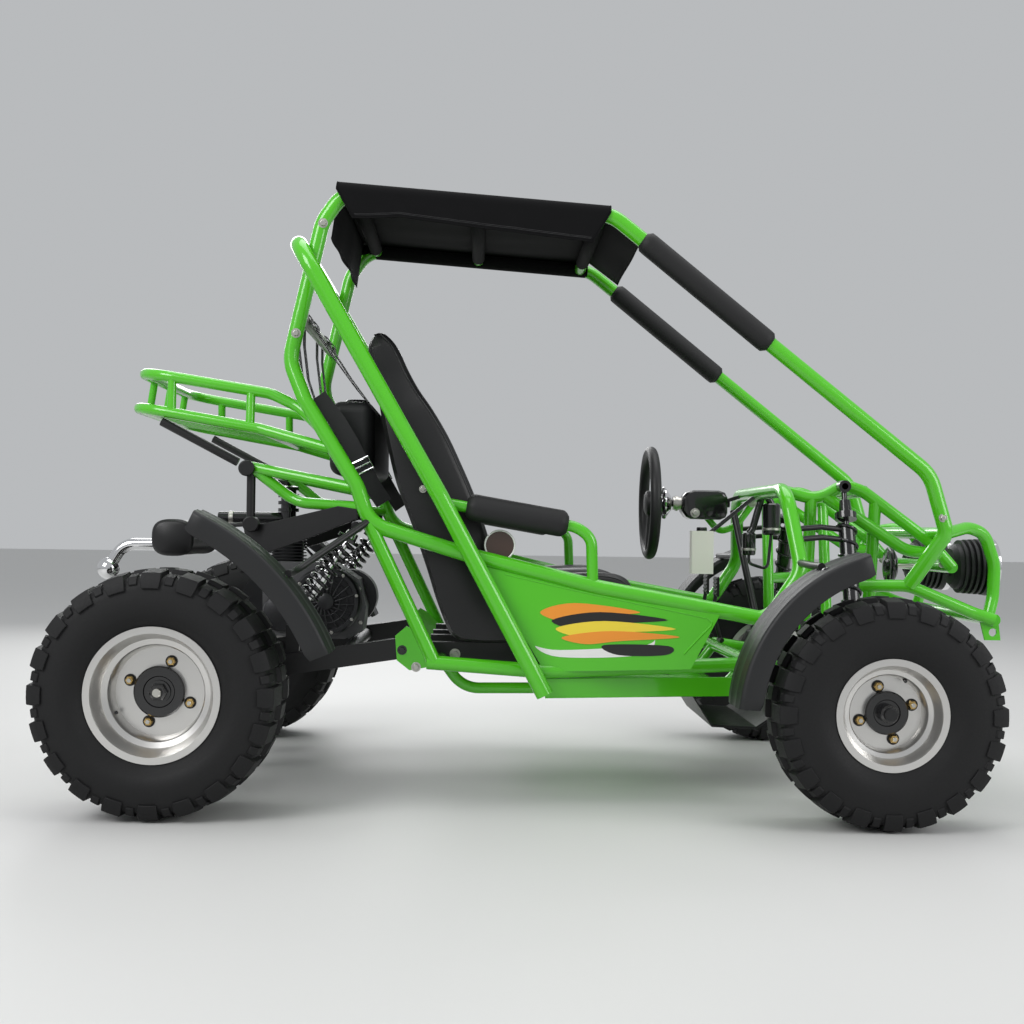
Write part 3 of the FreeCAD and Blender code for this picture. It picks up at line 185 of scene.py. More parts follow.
def eased(a, b, c, d, t):
    """A smooth curve's value between the middle two of four."""
    return 0.5 * (2 * b + (c - a) * t + (2 * a - 5 * b + 4 * c - d) * t * t + (3 * b - a - 3 * c + d) * t ** 3)


def fillet_line(points, reach, steps=6):
    """The points' line with its corners rounded."""
    points = [Vector(p) for p in points]
    line = [points[0]]
    for a, b, c in zip(points, points[1:], points[2:]):
        cut = min(reach, (a - b).length * 0.45, (c - b).length * 0.45)
        p = b + (a - b).normalized() * cut
        q = b + (c - b).normalized() * cut
        for n in range(steps + 1):
            t = n / steps
            line.append(p * (1 - t) ** 2 + b * 2 * t * (1 - t) + q * t * t)
    return line + [points[-1]]


def add_mesh(name, points, faces, mats, kinds=None):
    data = bpy.data.meshes.new(name)
    data.from_pydata([tuple(p) for p in points], [], faces)
    for mat in mats:
        data.materials.append(mat)
    data.validate()
    for face, kind in zip(data.polygons, kinds or [0] * len(faces)):
        face.material_index = kind
        face.use_smooth = True
    thing = bpy.data.objects.new(name, data)
    bpy.context.scene.collection.objects.link(thing)
    return thing


def turned_frame(axis):
    axis = Vector(axis).normalized()
    other = vec(0, 0, 1) if abs(axis.z) < 0.9 else vec(1, 0, 0)
    across = axis.cross(other).normalized()
    return axis, across, across.cross(axis).normalized()


MERGE = 0.00002
AXIS_RADIUS = 0.00005


def ring_at(centre, across, up, radius, sides):
    return [centre + (across * cos(angle) + up * sin(angle)) * radius
            for angle in (2 * pi * k / sides for k in range(sides))]


class Shape:
    """Skins gathered into one mesh: rods, turned shapes, pipes, slabs and bolts."""

    def __init__(self):
        self.points, self.faces, self.kinds, self.mats = [], [], [], []

    def add(self, points, faces, mat):
        if mat not in self.mats:
            self.mats.append(mat)
        start = len(self.points)
        self.points += [Vector(p) for p in points]
        self.faces += [[start + i for i in face] for face in faces]
        self.kinds += [self.mats.index(mat)] * len(faces)

    def rings(self, rows, mat, closed=False):
        """Rows of points joined to their neighbours, the last to the first or each end shut by a face."""
        n = len(rows[0])
        count = len(rows)
        faces = []
        for a in range(count if closed else count - 1):
            b = (a + 1) % count
            for k in range(n):
                j = (k + 1) % n
                faces.append((a * n + k, a * n + j, b * n + j, b * n + k))
        if not closed:
            faces.append(tuple(range(n))[::-1])
            faces.append(tuple((count - 1) * n + k for k in range(n)))
        self.add([p for row in rows for p in row], faces, mat)

    def turned(self, outline, origin, axis, mat, sides=40, closed=False):
        """An outline of places along the axis and radii, turned about it."""
        axis, across, up = turned_frame(axis)
        self.rings([ring_at(Vector(origin) + axis * along, across, up, max(radius, AXIS_RADIUS), sides)
                    for along, radius in outline], mat, closed)

    def rod(self, a, b, radius, mat, sides=16, edge=0):
        a, b = Vector(a), Vector(b)
        span = (b - a).length
        outline = [(0, radius), (span, radius)]
        if edge:
            outline = [(0, radius - edge), (edge, radius), (span - edge, radius), (span, radius - edge)]
        self.turned(outline, a, b - a, mat, sides)

    def pipe(self, points, radius, mat, sides=10, closed=False):
        points = [Vector(p) for p in points]
        rows = []
        count = len(points)
        across = turned_frame(points[1] - points[0])[1]
        for n, point in enumerate(points):
            before = points[(n - 1) % count] if closed or n else point
            after = points[(n + 1) % count] if closed or n < count - 1 else point
            along = (after - before).normalized()
            across = (across - along * across.dot(along)).normalized()
            rows.append(ring_at(point, across, across.cross(along), radius, sides))
        self.rings(rows, mat, closed)

    def bolt(self, place, axis, radius, mat, washer=None):
        axis, place = Vector(axis).normalized(), Vector(place)
        if washer:
            self.turned([(0, radius * 1.45), (radius * 0.2, radius * 1.45)], place, axis, washer, 24)
        self.turned([(0, radius), (radius * 0.6, radius), (radius * 0.75, radius * 0.82)],
                    place + axis * radius * (0.2 if washer else 0), axis, mat, 6)

    def slab(self, outline, thick, mat):
        """A flat outline of points given thickness along thick."""
        lower = [Vector(p) for p in outline]
        self.rings([lower, [p + Vector(thick) for p in lower]], mat)

    def box(self, low, high, mat):
        (a, b, c), (d, e, f) = low, high
        self.slab([(a, b, c), (d, b, c), (d, e, c), (a, e, c)], (0, 0, f - c), mat)

    def belt(self, points, widths, thick, mat):
        """A strap along points: each width is the vector across it."""
        rows = []
        for n, point in enumerate(points):
            along = points[min(n + 1, len(points) - 1)] - points[max(n - 1, 0)]
            wide = widths[n] / 2
            off = wide.cross(along).normalized() * thick / 2
            rows.append([point - wide - off, point + wide - off, point + wide + off, point - wide + off])
        self.rings(rows, mat)

    def done(self, name, body="chassis", slot=None, replaces=(), smooth=35, bevel=0, segments=2, sharp=40,
             merge=True):
        thing = add_mesh(name, self.points, self.faces, self.mats, self.kinds)
        work = bmesh.new()
        work.from_mesh(thing.data)
        if merge:
            bmesh.ops.remove_doubles(work, verts=work.verts, dist=MERGE)
        bmesh.ops.recalc_face_normals(work, faces=work.faces)
        work.to_mesh(thing.data)
        work.free()
        if bevel:
            edge = thing.modifiers.new("edges", "BEVEL")
            edge.width = bevel
            edge.segments = segments
            edge.limit_method = "ANGLE"
            edge.angle_limit = radians(sharp)
        bpy.context.view_layer.objects.active = thing
        for other in bpy.context.selected_objects:
            other.select_set(False)
        thing.select_set(True)
        bpy.ops.object.shade_smooth_by_angle(angle=radians(smooth))
        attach(thing, body)
        if replaces:
            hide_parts(*replaces)
        return thing

    def instead(self, node, **rest):
        """The same for a piece that is seen in place of one solid node."""
        return self.done(f"{node}_look", replaces=[node], **rest)


# Wheels: tyres with the carcass and lugs of the solid ones, rounder and with small blocks between the lugs

# Sizes, then the trim's, then the fender's: three places of its top in wheel radii from the axle, the share of the
# tyre's width that it covers outwards, and where its stay is along the top
WHEELS = {
    "rear": dict(axle_x=-0.811, radius=0.254, width=0.254, seat=0.127, half_track=0.573, disc=0.16, hub=0.0528,
                 bore=0.0163, cap=0.0532, nuts=0.066, turn=70, on_disc=0.07, on_hub=0.035, valve=(-0.092, -0.046),
                 fender=((0.322, 1.47), (0.821, 1.152), (1.404, 0.354)), cover=0.46, stay=0.55),
    "front": dict(axle_x=0.673, radius=0.235, width=0.178, seat=0.102, half_track=0.616, disc=0.15, hub=0.04375,
                  bore=0.01255, cap=0.0445, nuts=0.0555, turn=107, on_disc=0.062, on_hub=0.03, valve=(0.037, 0.074),
                  fender=((-0.204, 1.372), (-0.9, 0.96), (-1.306, 0.036)), cover=0.42, stay=0.2),
}
WHEEL_SET = [(side, way, end, size) for side, way in SIDES.items() for end, size in WHEELS.items()]
BEAD_GAP = 0.0003
# Places across as shares of the width, heights as shares of the way from the bead to the tread
CARCASS = [(-0.35, 0), (-0.4, 0.12), (-0.462, 0.24), (-0.488, 0.36), (-0.493, 0.46), (-0.49, 0.58), (-0.48, 0.68),
           (-0.475, 0.74), (-0.45, 0.82), (-0.4, 0.88), (-0.3, 0.905), (-0.15, 0.925)]
CARCASS = CARCASS + [(-w, r) for w, r in CARCASS[::-1]]
SIDE_LUG = [(-0.46, 0.7), (-0.5, 0.7), (-0.488, 0.84), (-0.445, 0.95), (-0.31, 0.978), (-0.18, 1), (-0.15, 0.9),
            (-0.38, 0.86)]
SMALL_LUG = [(-0.455, 0.74), (-0.482, 0.78), (-0.44, 0.9), (-0.35, 0.945), (-0.33, 0.89), (-0.42, 0.84)]
CENTRE_LUG = [(-0.15, 0.9), (-0.12, 1), (0.12, 1), (0.15, 0.9)]
LUGS = 20
PITCH = 2 * pi / LUGS
LUG_SHARE = 0.56
LUG_TAPER = 0.9
TYRE_STEPS = 160


def wheel_body(end, side):
    return "rear_axle" if end == "rear" else f"front_wheel_{side}"


def tyre(end, side, size):
    centre = middle_of(f"{end}_tyre_{side}")
    centre.z = size["radius"]
    seat = size["seat"] + BEAD_GAP
    form = Shape()

    def at(w, r, angle):
        reach = seat + r * (size["radius"] - seat)
        return centre + vec(reach * sin(angle), w * size["width"], reach * cos(angle))

    def block(profile, angle, half, parts=3):
        """One lug: a closed profile carried from one angle to the next, a little less far at its crown."""
        rows = []
        for step in range(parts + 1):
            turn = 2 * half * step / parts - half
            rows.append([at(w, r, angle + turn * (LUG_TAPER if r > 0.94 or abs(w) > 0.492 else 1))
                         for w, r in profile])
        form.rings(rows, rubber)

    form.rings([[at(w, r, 2 * pi * n / TYRE_STEPS) for w, r in CARCASS] for n in range(TYRE_STEPS)], rubber, True)
    half = PITCH * LUG_SHARE / 2
    for n in range(LUGS):
        angle = n * PITCH
        for way in (-1, 1):
            block([(w * way, r) for w, r in SIDE_LUG], angle, half)
            block([(w * way, r) for w, r in SMALL_LUG], angle + PITCH / 2, half * 0.42, 2)
        block(CENTRE_LUG, angle + PITCH / 2, PITCH * (1 - LUG_SHARE) / 2, 2)
    form.instead(f"{end}_tyre_{side}", body=wheel_body(end, side), slot="tyre_rubber", bevel=0.0012, segments=1,
                 sharp=35, merge=False)


for side, way, end, size in WHEEL_SET:
    tyre(end, side, size)


# Caps, nuts and valves of the wheels

for side, way, end, size in WHEEL_SET:
    centre = middle_of(f"{end}_tyre_{side}")
    centre.y, centre.z = 0, size["radius"]
    out = vec(0, way, 0)

    def on_rim(x, z=0):
        return trees[f"{end}_rim_{side}"].ray_cast(centre + vec(x, way, z), -out)[0]

    face = abs(on_rim(size["on_disc"]).y)
    top = abs(on_rim(size["on_hub"]).y) - face + 0.004
    base = centre + out * (face + 0.0004)
    cap = size["cap"]
    trim = Shape()
    outline = [(0, cap), (top - 0.003, cap), (top, cap - 0.003), (top, cap * 0.62), (top - 0.002, cap * 0.58),
               (top - 0.002, cap * 0.42), (top + 0.001, cap * 0.4), (top + 0.001, 0)]
    trim.turned(outline, base, out, gloss_black, 64)
    if end == "rear":
        trim.turned([(top, 0.019), (top + 0.012, 0.019), (top + 0.015, 0.015), (top + 0.015, 0)], base, out,
                    gloss_black, 6)
        trim.turned([(top, 0.024), (top + 0.003, 0.024)], base, out, gloss_black, 32)
        trim.rod(base + out * (top + 0.01), base + out * (top + 0.024), 0.009, zinc, 20, 0.001)
    else:
        trim.turned([(top, 0.019), (top + 0.02, 0.0185), (top + 0.024, 0.015), (top + 0.024, 0)], base, out,
                    gloss_black, 32)
    for k in range(4):
        place = centre + around(radians(size["turn"]) + k * pi / 2, size["nuts"]) + out * (face + 0.0002)
        trim.turned([(0, 0.0125), (0.002, 0.0125)], place, out, steel, 24)
        trim.turned([(0.002, 0.0095), (0.009, 0.0095), (0.0115, 0.0075), (0.0115, 0)], place, out, brass, 6)
        trim.rod(place + out * 0.011, place + out * 0.016, 0.0045, zinc, 16, 0.0006)
    x, z = size["valve"]
    root = on_rim(x, z)
    lean = (vec(-x, 0, -z).normalized() * 0.35 + out).normalized()
    trim.rod(root - lean * 0.002, root + lean * 0.02, 0.0045, rubber, 14, 0.0008)
    trim.rod(root + lean * 0.02, root + lean * 0.028, 0.0035, gloss_black, 14, 0.0006)
    trim.done(f"{end}_wheel_trim_{side}", wheel_body(end, side))


# Side panels: plain stripes, and a pressed line along the upper and front edges

STRIPES = [
    (white_ink, [(535, 646), (560, 650), (640, 646), (655, 640), (640, 655), (560, 657)]),
    (black_ink, [(604, 645), (668, 646), (666, 655), (618, 655)]),
    (orange_ink, [(540, 612), (575, 603), (640, 612), (600, 616), (566, 622)]),
    (black_ink, [(552, 620), (600, 612), (668, 620), (610, 624), (575, 629)]),
    (yellow_ink, [(556, 628), (605, 621), (676, 629), (614, 633), (580, 637)]),
    (orange_ink, [(562, 637), (612, 631), (680, 637), (620, 641), (585, 644)]),
]
PRESSED_LINE = [(505, 574), (545, 583.5), (590, 593.5), (640, 604), (690, 614.5), (708, 618.5), (712, 622), (711, 626),
                (700, 637), (684, 654)]


def on_panel(side, u, v, lift):
    found = seen(u, v, ["side_panel_right"])
    return found and flip(found[0] + vec(0, -lift, 0), side == "left")


def closed_curve(points, steps=6):
    n = len(points)
    return [eased(*[Vector(points[(k + j - 1) % n]) for j in range(4)], s / steps)
            for k in range(n) for s in range(steps)]


for side, way in SIDES.items():
    marks = Shape()
    for number, (ink, corners) in enumerate(STRIPES):
        line = [on_panel(side, *spot, 0.0002 + 0.0001 * number) for spot in closed_curve(corners)]
        if None not in line:
            marks.slab(line, (0, way * 0.0004, 0), ink)
    marks.done(f"panel_stripes_{side}", smooth=20)
    bead = Shape()
    bead.pipe([p for p in (on_panel(side, *spot, -0.001) for spot in PRESSED_LINE) if p], 0.0024, green, 10)
    bead.done(f"panel_bead_{side}", slot="green_paint")


# Seats: one padded shell each, crowned in the middle, with raised sides and sewn edges

# Front point, back point, half width, rise of the sides and crown of each station from the nose to the head
SEAT_STATIONS = [
    (0.176, 0.392, 0.17, 0.35, 0.15, 0, 0), (0.1865, 0.425, 0.172, 0.343, 0.168, 0, 0.001),
    (0.1865, 0.458, 0.15, 0.3415, 0.176, 0.004, 0.002), (0.168, 0.477, 0.12, 0.3415, 0.18, 0.014, 0.004),
    (0.125, 0.476, 0.08, 0.3415, 0.1822, 0.03, 0.005), (0.06, 0.466, 0.03, 0.3415, 0.1826, 0.04, 0.004),
    (-0.01, 0.455, -0.03, 0.3415, 0.1826, 0.046, 0.003), (-0.07, 0.448, -0.1, 0.3415, 0.1826, 0.05, 0.002),
    (-0.112, 0.45, -0.165, 0.342, 0.1826, 0.052, 0), (-0.142, 0.474, -0.215, 0.356, 0.1826, 0.054, 0),
    (-0.166, 0.52, -0.248, 0.425, 0.1826, 0.056, 0.002), (-0.19, 0.58, -0.276, 0.51, 0.1826, 0.056, 0.004),
    (-0.217, 0.65, -0.31, 0.605, 0.1826, 0.055, 0.006), (-0.245, 0.722, -0.345, 0.695, 0.1815, 0.052, 0.006),
    (-0.272, 0.792, -0.365, 0.77, 0.1785, 0.046, 0.006), (-0.297, 0.855, -0.38, 0.835, 0.168, 0.034, 0.006),
    (-0.317, 0.905, -0.39, 0.885, 0.15, 0.02, 0.007), (-0.334, 0.95, -0.4, 0.93, 0.134, 0.012, 0.008),
    (-0.348, 0.988, -0.41, 0.972, 0.126, 0.008, 0.008), (-0.36, 1.016, -0.417, 1.005, 0.118, 0.004, 0.006),
    (-0.376, 1.037, -0.4125, 1.027, 0.106, 0, 0.003), (-0.388, 1.044, -0.402, 1.0395, 0.09, 0, 0),
]


SEAT_STEPS = 5
SEAT_Y = 0.19035
ACROSS = 44
BOLSTER = 0.62


def seat_stations():
    """The stations with smooth ones between them."""
    last = len(SEAT_STATIONS) - 1
    line = []
    for k in range(last):
        rows = [SEAT_STATIONS[min(max(k + j - 1, 0), last)] for j in range(4)]
        line += [[eased(*four, s / SEAT_STEPS) for four in zip(*rows)] for s in range(SEAT_STEPS)]
    return line + [SEAT_STATIONS[last]]


def seat_row(station, middle):
    fx, fz, bx, bz, half, rise, crown = station
    front, back = vec(fx, 0, fz), vec(bx, 0, bz)
    out = (front - back).normalized()
    row = []
    for k in range(ACROSS + 1):
        u = -1 + 2 * k / ACROSS
        a = abs(u)
        high = crown * (1 - (a / BOLSTER) ** 2) if a < BOLSTER else 0
        if a > BOLSTER:
            t = (a - BOLSTER) / (1 - BOLSTER)
            high += rise * sin(pi * min(t * 0.62, 1)) ** 0.9 - 0.018 * max(t - 0.72, 0) / 0.28
        high -= 0.0045 * exp(-((a - BOLSTER) / 0.022) ** 2) + 0.0016 * exp(-((a - 0.9) / 0.014) ** 2)
        row.append(front + out * high + vec(0, middle + u * half, 0))
    for k in range(ACROSS + 1):
        u = 1 - 2 * k / ACROSS
        row.append(back + out * 0.01 * max(abs(u) - 0.8, 0) / 0.2 + vec(0, middle + u * half * 0.985, 0))
    return row


for side, way in SIDES.items():
    seat = Shape()
    rows = [seat_row(station, way * SEAT_Y) for station in seat_stations()]
    seat.rings(rows, vinyl)
    seat.instead(f"seat_{side}", slot="seat_vinyl", smooth=60)
    piping = Shape()
    for u in (-0.62, 0.62, -0.955, 0.955):
        piping.pipe([row[round((u + 1) / 2 * ACROSS)] for row in rows[8:-4]], 0.0016, thread, 6)
    piping.done(f"seat_piping_{side}", smooth=60)


# Armrest and pillar pads

def pad(node, middle, lean, span, radius, flat=0, ripple=0, sides=40, steps=36):
    """A foam sleeve with rounded ends, a seam below it and soft creases towards its ends."""
    axis, up = around(-lean), around(pi / 2 - lean)
    rows = []
    for n in range(steps + 1):
        t = n / steps
        end = min(t, 1 - t) * span
        pull = 1 - 0.42 * max(0, 1 - end / (radius * 0.55)) ** 2.2
        row = []
        for k in range(sides):
            angle = 2 * pi * k / sides
            c, s = cos(angle), sin(angle)
            reach = radius * pull * (1 - flat * max(0, -s) ** 3) + ripple * exp(-end / 0.02) * sin(9 * angle)
            reach -= 0.0012 * exp(-((angle - 1.5 * pi) / 0.05) ** 2)
            row.append(middle + axis * span * (t - 0.5) + Y * c * reach + up * s * reach)
        rows.append(row)
    form = Shape()
    form.rings(rows, foam)
    form.instead(node, slot="foam_sleeve", smooth=60)


for side, way in SIDES.items():
    pad(f"armrest_pad_{side}", vec(-0.0754, way * 0.4082, 0.62645), radians(9.53), 0.2256, 0.0312, 0.1, 0.0008)
    node = f"pillar_pad_{side}"
    low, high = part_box(node)
    long, thick, tall = [b - a for a, b in zip(low, high)]
    radius = thick / 2
    lean = atan2(tall - 1.5 * radius, long - 1.3 * radius)
    span = hypot(tall - 2 * radius * cos(lean), long - 2 * radius * sin(lean))
    pad(node, middle_of(node), lean, span, radius - 0.0002)


# Canopy: one cloth over both roof tubes, hanging in a flap on the near side and wrapped round the far tube

ROOF_REAR = vec(-0.4697, 0, 1.3504)
ROOF_WAY = (vec(0.1299, 0, 1.3054) - ROOF_REAR).normalized()
ROOF_UP = vec(-ROOF_WAY.z, 0, ROOF_WAY.x)
ROOF_HALF = 0.34
CLOTH_RUN = 0.6135
CLOTH_R = 0.0192
FLAP_LINE = [(0.068, 0.92), (0.127, 0.89), (0.242, 0.79), (0.5, 0.88), (0.945, 0.99)]
BAR_RUN = (0.063, 0.97)


def flap_drop(share):
    """How far the near flap hangs below the middle of the roof tube."""
    for (a, p), (b, q) in zip(FLAP_LINE, FLAP_LINE[1:]):
        if share <= b:
            return 0.09 * (p + (q - p) * min(max((share - a) / (b - a), 0), 1)) - 0.021
    return 0.09 * 0.99 - 0.021


def roof_spot(run, y, high):
    return ROOF_REAR + ROOF_WAY * (-0.017 + run * CLOTH_RUN) + vec(0, y, 0) + ROOF_UP * high


def cloth_section(run):
    """The cloth's line across the roof: near flap from its lower edge, over the top, round the far tube."""
    line = []
    drop = flap_drop(0.068 + run * (0.945 - 0.068))
    for n in range(13):
        t = n / 12
        share = run + (1 - t) * ((0.068 - 0.132 * run) if run < 0.5 else (0.068 - 0.123 * run))
        wave = (1 - t) * (0.0022 * sin(21 * run + 2 * t) + 0.0014 * sin(47 * run + 1.3))
        line.append((share, -ROOF_HALF - CLOTH_R - 0.0005 - abs(wave) * 0.9, -drop * (1 - t)))
    for n in range(1, 7):
        angle = pi - n * pi / 12
        line.append((run, -ROOF_HALF + CLOTH_R * cos(angle), CLOTH_R * sin(angle)))
    span = min(max((run - BAR_RUN[0]) / (BAR_RUN[1] - BAR_RUN[0]), 0), 1)
    sag = 0.013 * sin(pi * span) ** 0.8 if 0 < span < 1 else 0
    for n in range(1, 34):
        y = -ROOF_HALF + 2 * ROOF_HALF * n / 34
        edge = 1 - (y / ROOF_HALF) ** 2
        fold = 0.0012 * sin(38 * y + 5 * run) * edge * sin(pi * span)
        line.append((run, y, CLOTH_R - sag * edge + fold))
    for n in range(25):
        angle = pi / 2 - n * pi * 1.72 / 24
        line.append((run, ROOF_HALF + CLOTH_R * cos(angle), CLOTH_R * sin(angle)))
    return [roof_spot(*p) for p in line]


def flap_rows(run, half, hang, bend):
    """An end flap as rows from its sewn edge along hang, bent by ripples."""
    return [[roof_spot(run, y, CLOTH_R) + hang * t + bend(y, t) for t in (m / 12 for m in range(13))]
            for y in (-half + 2 * half * n / 48 for n in range(49))]


def sheet_mesh(name, rows):
    n = len(rows[0])
    faces = [(a * n + k, a * n + k + 1, (a + 1) * n + k + 1, (a + 1) * n + k)
             for a in range(len(rows) - 1) for k in range(n - 1)]
    thing = add_mesh(name, [p for row in rows for p in row], faces, [cloth])
    wall = thing.modifiers.new("wall", "SOLIDIFY")
    wall.thickness = 0.0012
    wall.offset = 0
    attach(thing, "chassis")
    return thing


def rear_ripple(y, t):
    return vec(0.004 * t * sin(19 * y) * sin(7 * y + 1) + 0.001, 0, 0)


def front_ripple(y, t):
    return around(pi / 2 - FRONT_LEAN, 0.004 * t * sin(17 * y + 2) - 0.006 * sin(pi * t) * (1 - (y / 0.31) ** 2))


REAR_LEAN, FRONT_LEAN = radians(7.84), radians(38.5)
REAR_FLAP, FRONT_FLAP = (0.644, 0.122), (0.617, 0.104)
cloth_rows = [cloth_section(n / 70) for n in range(71)]
canopy = sheet_mesh("canopy_cloth_look", cloth_rows)
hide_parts("canopy")
rear_rows = flap_rows(0.002, REAR_FLAP[0] / 2, vec(-sin(REAR_LEAN), 0, -cos(REAR_LEAN)) * REAR_FLAP[1], rear_ripple)
rear_flap = sheet_mesh("canopy_rear_flap_look", rear_rows)
front_rows = flap_rows(0.994, FRONT_FLAP[0] / 2, around(-FRONT_LEAN, FRONT_FLAP[1]), front_ripple)
front_flap = sheet_mesh("canopy_front_flap_look", front_rows)

# Hems, the pockets round the crossbars, and two seams along the near flap
hems = Shape()
for line in ([row[0] for row in cloth_rows], [row[-1] for row in cloth_rows]):
    hems.pipe(line, 0.0017, cloth, 8)
for line in (cloth_rows[0], cloth_rows[-1], [row[-1] for row in rear_rows], [row[-1] for row in front_rows]):
    hems.pipe(line, 0.0015, cloth, 8)
groups = []
for p in sorted(corners_of("roof_crossbars"), key=lambda q: q.x):
    if groups and p.x - groups[-1][-1].x < 0.02:
        groups[-1].append(p)
    else:
        groups.append([p])
for group in groups:
    x, z = [(min(p[k] for p in group) + max(p[k] for p in group)) / 2 for k in (0, 2)]
    reach = max(p.x for p in group) - x
    half = 0.3 if group is not groups[-1] else 0.24
    hems.rod((x, -half, z), (x, half, z), reach + 0.0016, cloth, 28, 0.001)
for inset in (0.007, 0.01):
    hems.pipe([row[0] + (row[1] - row[0]).normalized() * inset + vec(0, -0.0007, 0) for row in cloth_rows[1:-1]],
              0.0004, thread, 5)
hem_look = hems.done("canopy_hems", smooth=60)


# Coil-overs: a smooth coil in place of the faceted one, over a bright damper

EYE_WIDTH = 0.028
COIL_TURNS = 9


def shock(form, foot, head, radius, damper_mat, rod_mat):
    along = (head - foot).normalized()
    span = (head - foot).length
    _, across, up = turned_frame(along)
    a, b, c, d = [foot + along * span * s for s in (0.15, 0.18, 0.84, 0.87)]
    form.turned([(0.014, radius * 0.46), (span * 0.12, radius * 0.46), (span * 0.13, radius * 0.52),
                 (span * 0.5, radius * 0.52), (span * 0.51, radius * 0.4)], foot, along, damper_mat, 32)
    form.rod(foot + along * span * 0.5, head - along * 0.012, radius * 0.26, rod_mat, 24)
    cup = (b - a).length
    form.turned([(0, radius * 0.7), (0, radius), (cup, radius), (cup, radius * 0.7)], a, along, gloss_black, 40)
    cup = (d - c).length
    form.turned([(0, radius * 0.6), (0, radius), (cup, radius), (cup + 0.002, radius * 0.55)], c, along,
                gloss_black, 40)
    form.turned([(0, radius * 0.6), (span * 0.06, radius * 0.5), (span * 0.06, 0)], d, along, rod_mat, 32)
    wire = radius * 0.17
    length = (c - b).length
    line = []
    count = COIL_TURNS * 28
    for n in range(count + 1):
        t = n / count
        angle = 2 * pi * COIL_TURNS * t
        reach = (radius - wire) * (0.97 + 0.03 * min(t * COIL_TURNS, (1 - t) * COIL_TURNS, 1))
        line.append(b + along * (wire + (length - 2 * wire) * t) + (across * cos(angle) + up * sin(angle)) * reach)
    form.pipe(line, wire * 0.92, gloss_black, 10)
    pin = vec(0, EYE_WIDTH / 2, 0)
    for place in (foot, head):
        form.turned([(0, 0.006), (0, 0.014), (EYE_WIDTH, 0.014), (EYE_WIDTH, 0.006)], place - pin, pin, damper_mat, 28)
        form.turned([(0, 0), (0, 0.0075), (EYE_WIDTH, 0.0075), (EYE_WIDTH, 0)], place - pin, pin, zinc, 24)


rear_look = Shape()
for way in SIDES.values():
    shock(rear_look, vec(-0.5721, way * 0.345, 0.3915), vec(-0.4296, way * 0.345, 0.6002), 0.0268, chrome, chrome)
rear_look.instead("rear_shocks")
front_look = Shape()
near = corners_of("front_shocks")
top = max(p.z for p in near)
shock_ends = {}
for way in SIDES.values():
    eye = mean_of(p for p in near if p.z > top - 0.028 and p.y * way > 0)
    foot, head = vec(0.673, way * 0.436, 0.2303), vec(0.673, eye.y, top - 0.014)
    shock(front_look, foot, head, 0.0242, gloss_black, gloss_black)
    front_look.rod(foot.lerp(head, 0.22), foot.lerp(head, 0.8), 0.0185, gloss_black, 28, 0.002)
    shock_ends[way] = (foot, head)
front_look.instead("front_shocks")


# Rims: stepped barrels down to the disc, in place of the plain ones

# Depth as a share of the way to the disc, radius as a share of the bead seat's
BARREL = [(0, 0.984), (0.12, 0.972), (0.45, 0.89), (0.5, 0.88), (0.55, 0.79), (0.6, 0.77), (1, 0.727)]
RIM_WALL = 0.003
RIM_LIP = 0.012


def barrel_lines(way, half, disc, seat):
    """The front of a barrel from its edge to the disc, and the back of the same wall."""
    depth = abs(way * half - disc)
    face = [(way * (half - d * depth), r * seat) for d, r in BARREL]
    back = [(y - way * (0 if d == 1 else 0.8 * RIM_WALL), min(r + RIM_WALL, seat))
            for (y, r), (d, _) in zip(face, BARREL)]
    return face, back[1:]


for side, way, end, size in WHEEL_SET:
    half = 0.8 * size["width"] / 2
    seat = size["seat"] - BEAD_GAP
    disc, hub, bore = size["disc"] * half, size["hub"], size["bore"]
    inner_face, inner_back = barrel_lines(-1, half, disc, seat)
    outer_face, outer_back = barrel_lines(1, half, disc + RIM_WALL, seat)
    edge = [(half, seat + RIM_LIP), (half - RIM_WALL, seat + RIM_LIP), (half - RIM_WALL, seat)]
    outline = [(-y, r) for y, r in edge] + inner_back + outer_back[::-1] + edge[::-1] + outer_face
    outline += [(disc + RIM_WALL, hub), (disc + 4 * RIM_WALL, hub), (disc + 4 * RIM_WALL, bore),
                (disc - 6 * RIM_WALL, bore), (disc - 6 * RIM_WALL, hub), (disc, hub)] + inner_face[::-1]
    rim = Shape()
    node = f"{end}_rim_{side}"
    centre = vec(middle_of(node).x, way * size["half_track"], size["radius"])
    rim.turned(outline, centre, (0, way, 0), rim_metal, 96, closed=True)
    rim.instead(node, body=wheel_body(end, side), slot="machined_rim", smooth=30)


# Fenders: curved tops with a skirt and a rolled lip, on round stays

def circle_through(a, b, c):
    d = 2 * (a[0] * (b[1] - c[1]) + b[0] * (c[1] - a[1]) + c[0] * (a[1] - b[1]))
    sq = [p[0] ** 2 + p[1] ** 2 for p in (a, b, c)]
    x = (sq[0] * (b[1] - c[1]) + sq[1] * (c[1] - a[1]) + sq[2] * (a[1] - b[1])) / d
    y = (sq[0] * (c[0] - b[0]) + sq[1] * (a[0] - c[0]) + sq[2] * (b[0] - a[0])) / d
    return x, y, hypot(a[0] - x, a[1] - y)


def leg_on(node, z, way, x_most=9):
    """The middle of a tube where it passes a height, from casts at it out of its own side."""
    tree = trees[node]
    hits = []
    for n in range(400):
        x = -0.7 + 1.4 * n / 400
        place = tree.ray_cast(vec(x, way, z), vec(0, -way, 0))[0]
        if x <= x_most and place is not None and place.y * way > 0.2:
            hits.append(place)
    middle = mean_of(hits)
    return vec(middle.x, middle.y - way * 0.012, z)


FENDER_WIDE = 0.14
FENDER_WALL = 0.0035
CAGE_HIGH = 1.364
